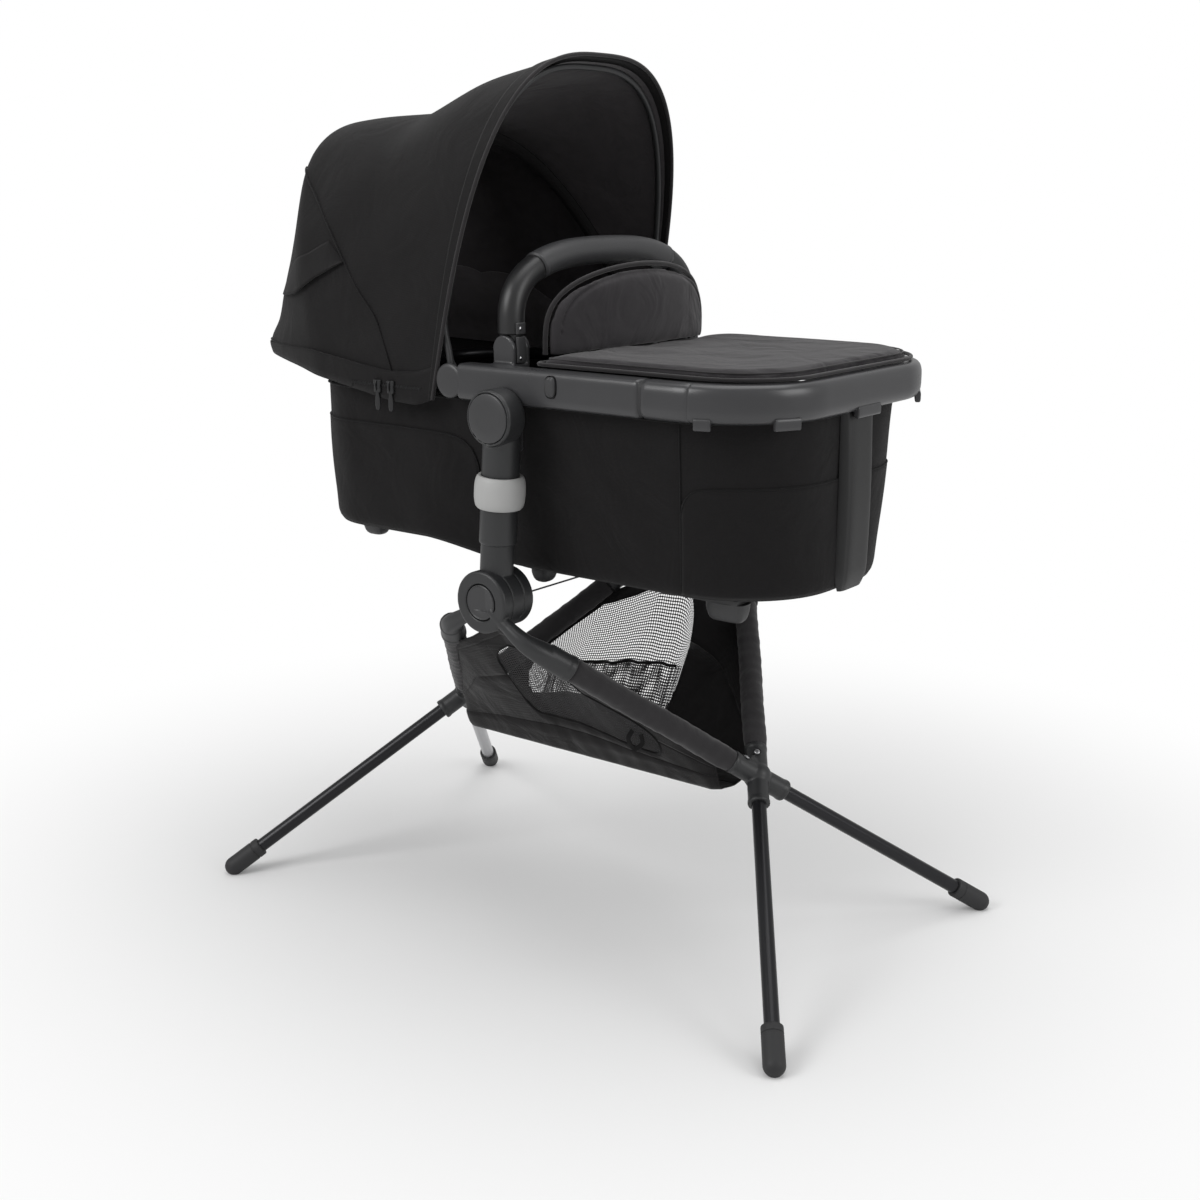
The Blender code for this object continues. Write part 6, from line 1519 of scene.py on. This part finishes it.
for name, side in sides.items():
    along = np.linspace(0.40, 0.935, 80)
    crest = np.interp(along, [0.40, 0.48, 0.58, 0.70, 0.80, 0.88, 0.935],
                      [0.035, 0.10, 0.155, 0.23, 0.32, 0.64, 0.86])
    section = np.linspace(0.0, 1.0, 22)
    across_it = np.sin(math.pi * np.clip(section, 0.02, 0.98)) ** 0.45
    along_it = np.sin(math.pi * np.linspace(0.02, 0.98, 80)) ** 0.4
    puff = 0.0070 * across_it[None, :] * along_it[:, None]
    grid = canopy_at(along[:, None] * np.ones(22), crest[:, None] * section[None, :], 0.0100)
    toward = units((centre + (0, 0, 0.03)) - grid)
    quilt_line = 0.0012 * np.exp(-((section - 0.86) / 0.03) ** 2)[None, :]
    front = (grid + toward * (puff - quilt_line)[..., None]) * (1.0, side, 1.0)
    back = (grid - toward * 0.0004) * (1.0, side, 1.0)
    bolster = surface(f"head_bolster_{name}", (np.concatenate([front, back[:, ::-1]], 1), True), smooth=60)
    on_hood(bolster, bolster_cloth)


# Hood bows: glass-fibre rods in sewn channels inside the hood, on flat discs that turn on the
# castings' pins. The rear one's channel shows inside as a band with two rows of stitches.
disc_outer = (0.2042, 0.1945)


def bow_disc(outer_y, side):
    """A flat disc with a rounded edge and a hole for the pivot pin, as a ring of its section."""
    low = outer_y - 0.0094
    rows = [(0.0034, low), (0.0105, low), (0.0115, low + 0.001), (0.0115, outer_y - 0.001), (0.0105, outer_y),
            (0.0034, outer_y)]
    return about_y(rows, hood_pivot, side, 48)


def bow(label, line, outer_y):
    """A hood bow: its rod along a line, between its two discs."""
    rod = carried(line, 0.008, 0.008, (1, 0, 0), around=20)
    discs = [(bow_disc(outer_y, side), "ring") for side in (-1, 1)]
    fit(surface(f"hood_arc_{label}", (rod, True), *discs), f"hood_{label}", moulded_black, "frame",
        f"hood_bow_{label}")


front_inset = 0.0088
angle = np.linspace(0.0, math.pi, 121)
arc = canopy_at(np.full(121, 0.03), angle, front_inset)
arc = arc[arc[:, 2] > hood_pivot[2] + 0.055]
foot_y = disc_outer[0] - 0.0047
legs = [np.array([(hood_pivot[0], -foot_y, hood_pivot[2]),
                  (hood_pivot[0] - 0.004, -foot_y, hood_pivot[2] + 0.026)])]
arc_points = np.concatenate([legs[0], arc, legs[0][::-1] * (1, -1, 1)])
bow("front", curve_through(arc_points, 260), disc_outer[0])

foot_y = disc_outer[1] - 0.0047
rise, out = np.sin(angle) ** 0.72, -np.sign(np.cos(angle)) * np.abs(np.cos(angle)) ** 0.72
arc_points = np.stack([hood_pivot[0] + (-0.232 - hood_pivot[0]) * rise, out * foot_y,
                       hood_pivot[2] + (0.965 - hood_pivot[2]) * rise], -1)
line = curve_through(arc_points, 260)
bow("rear", line, disc_outer[1])
channel_up, thread_size = (0.78, 0.0, 0.62), 0.0016
channel = carried(line[14:-14], 0.0176, 0.0098, channel_up, 3.0, 40)
solid("hood_channel_rear", channel, "hood_rear", hood_cloth, "fabric")
ahead = units(np.gradient(line, axis=0))
across = units(np.cross(channel_up, ahead))
for label, shift in (("fore", 0.0068), ("aft", -0.0068)):
    rows = [carried((line + across * shift + np.cross(ahead, across) * lift)[16:-16], thread_size,
                    thread_size,
                    channel_up, around=8) for lift in (0.0042, -0.0042)]
    solid(f"hood_channel_seam_{label}", rows, "hood_rear", seam_cloth, "fabric")


# Zip: moulded teeth on a cloth tape along the hem, with two metal sliders painted black. Each
# slider has a pull of moulded rubber.
zip_black = hard_finish("zip_black", (0.022, 0.022, 0.023), 0.36, metallic=0.4, depth=0.04)
zip_x = -0.1695
for side_name, side in sides.items():
    tape = bar((-0.215, side * 0.2092, 0.6735), (-0.100, side * 0.2092, 0.6735), 0.0012, 0.0120, power=6,
               edge=0.0004, around=20)
    solid(f"zip_tape_{side_name}", tape, "carrycot", hem_tape, "fabric")
    teeth = []
    for k, x in enumerate(np.arange(-0.213, -0.101, 0.0021)):
        low, high = ((x, side * 0.2100, z + 0.0010 * (k % 2)) for z in (0.6715, 0.6745))
        teeth.append(bar(low, high, 0.0014, 0.0016, (0, 1, 0), 4.0, 0.0002, 6))
    solid(f"zip_teeth_{side_name}", teeth, "carrycot", zip_black, "frame")


def slider(x, side):
    """Forms of a slider with its pull: a waisted body, a bridge over it and a long rounded tab."""
    body_z = np.array([0.6648, 0.6660, 0.6690, 0.6725, 0.6760, 0.6785, 0.6795])
    width = np.array([0.0085, 0.0105, 0.0110, 0.0098, 0.0116, 0.0125, 0.0105])
    line = np.stack([np.full(7, x), np.full(7, side * 0.21130), body_z], -1)
    body = carried(line, width, np.full(7, 0.0052), (0, 1, 0), 3.2, 28)
    bridge = np.array([(x, side * 0.2134, 0.6782), (x, side * 0.2142, 0.6755), (x, side * 0.2142, 0.6705),
                       (x, side * 0.2134, 0.6672)])
    hoop = carried(curve_through(bridge, 16), 0.0030, 0.0014, (1, 0, 0), 2.5, 12)
    tab_z = np.linspace(0.6705, 0.6438, 12)
    tab_wide = np.array([0.0036, 0.0050, 0.0052, 0.0050, 0.0058, 0.0070, 0.0078, 0.0082, 0.0082, 0.0078,
                         0.0066, 0.0040])
    tab_line = np.stack([np.full(12, x), np.full(12, side * 0.2117), tab_z], -1)
    tab = carried(tab_line, tab_wide, np.full(12, 0.0028), (0, 1, 0), 3.0, 24)
    return [body, hoop, tab]


solid("zip_pull_first", slider(zip_x, -1.0), "zip", zip_black, "frame", "zip_slider")
solid("zip_pull_second", slider(zip_x + 0.0215, -1.0), "carrycot", zip_black, "frame")
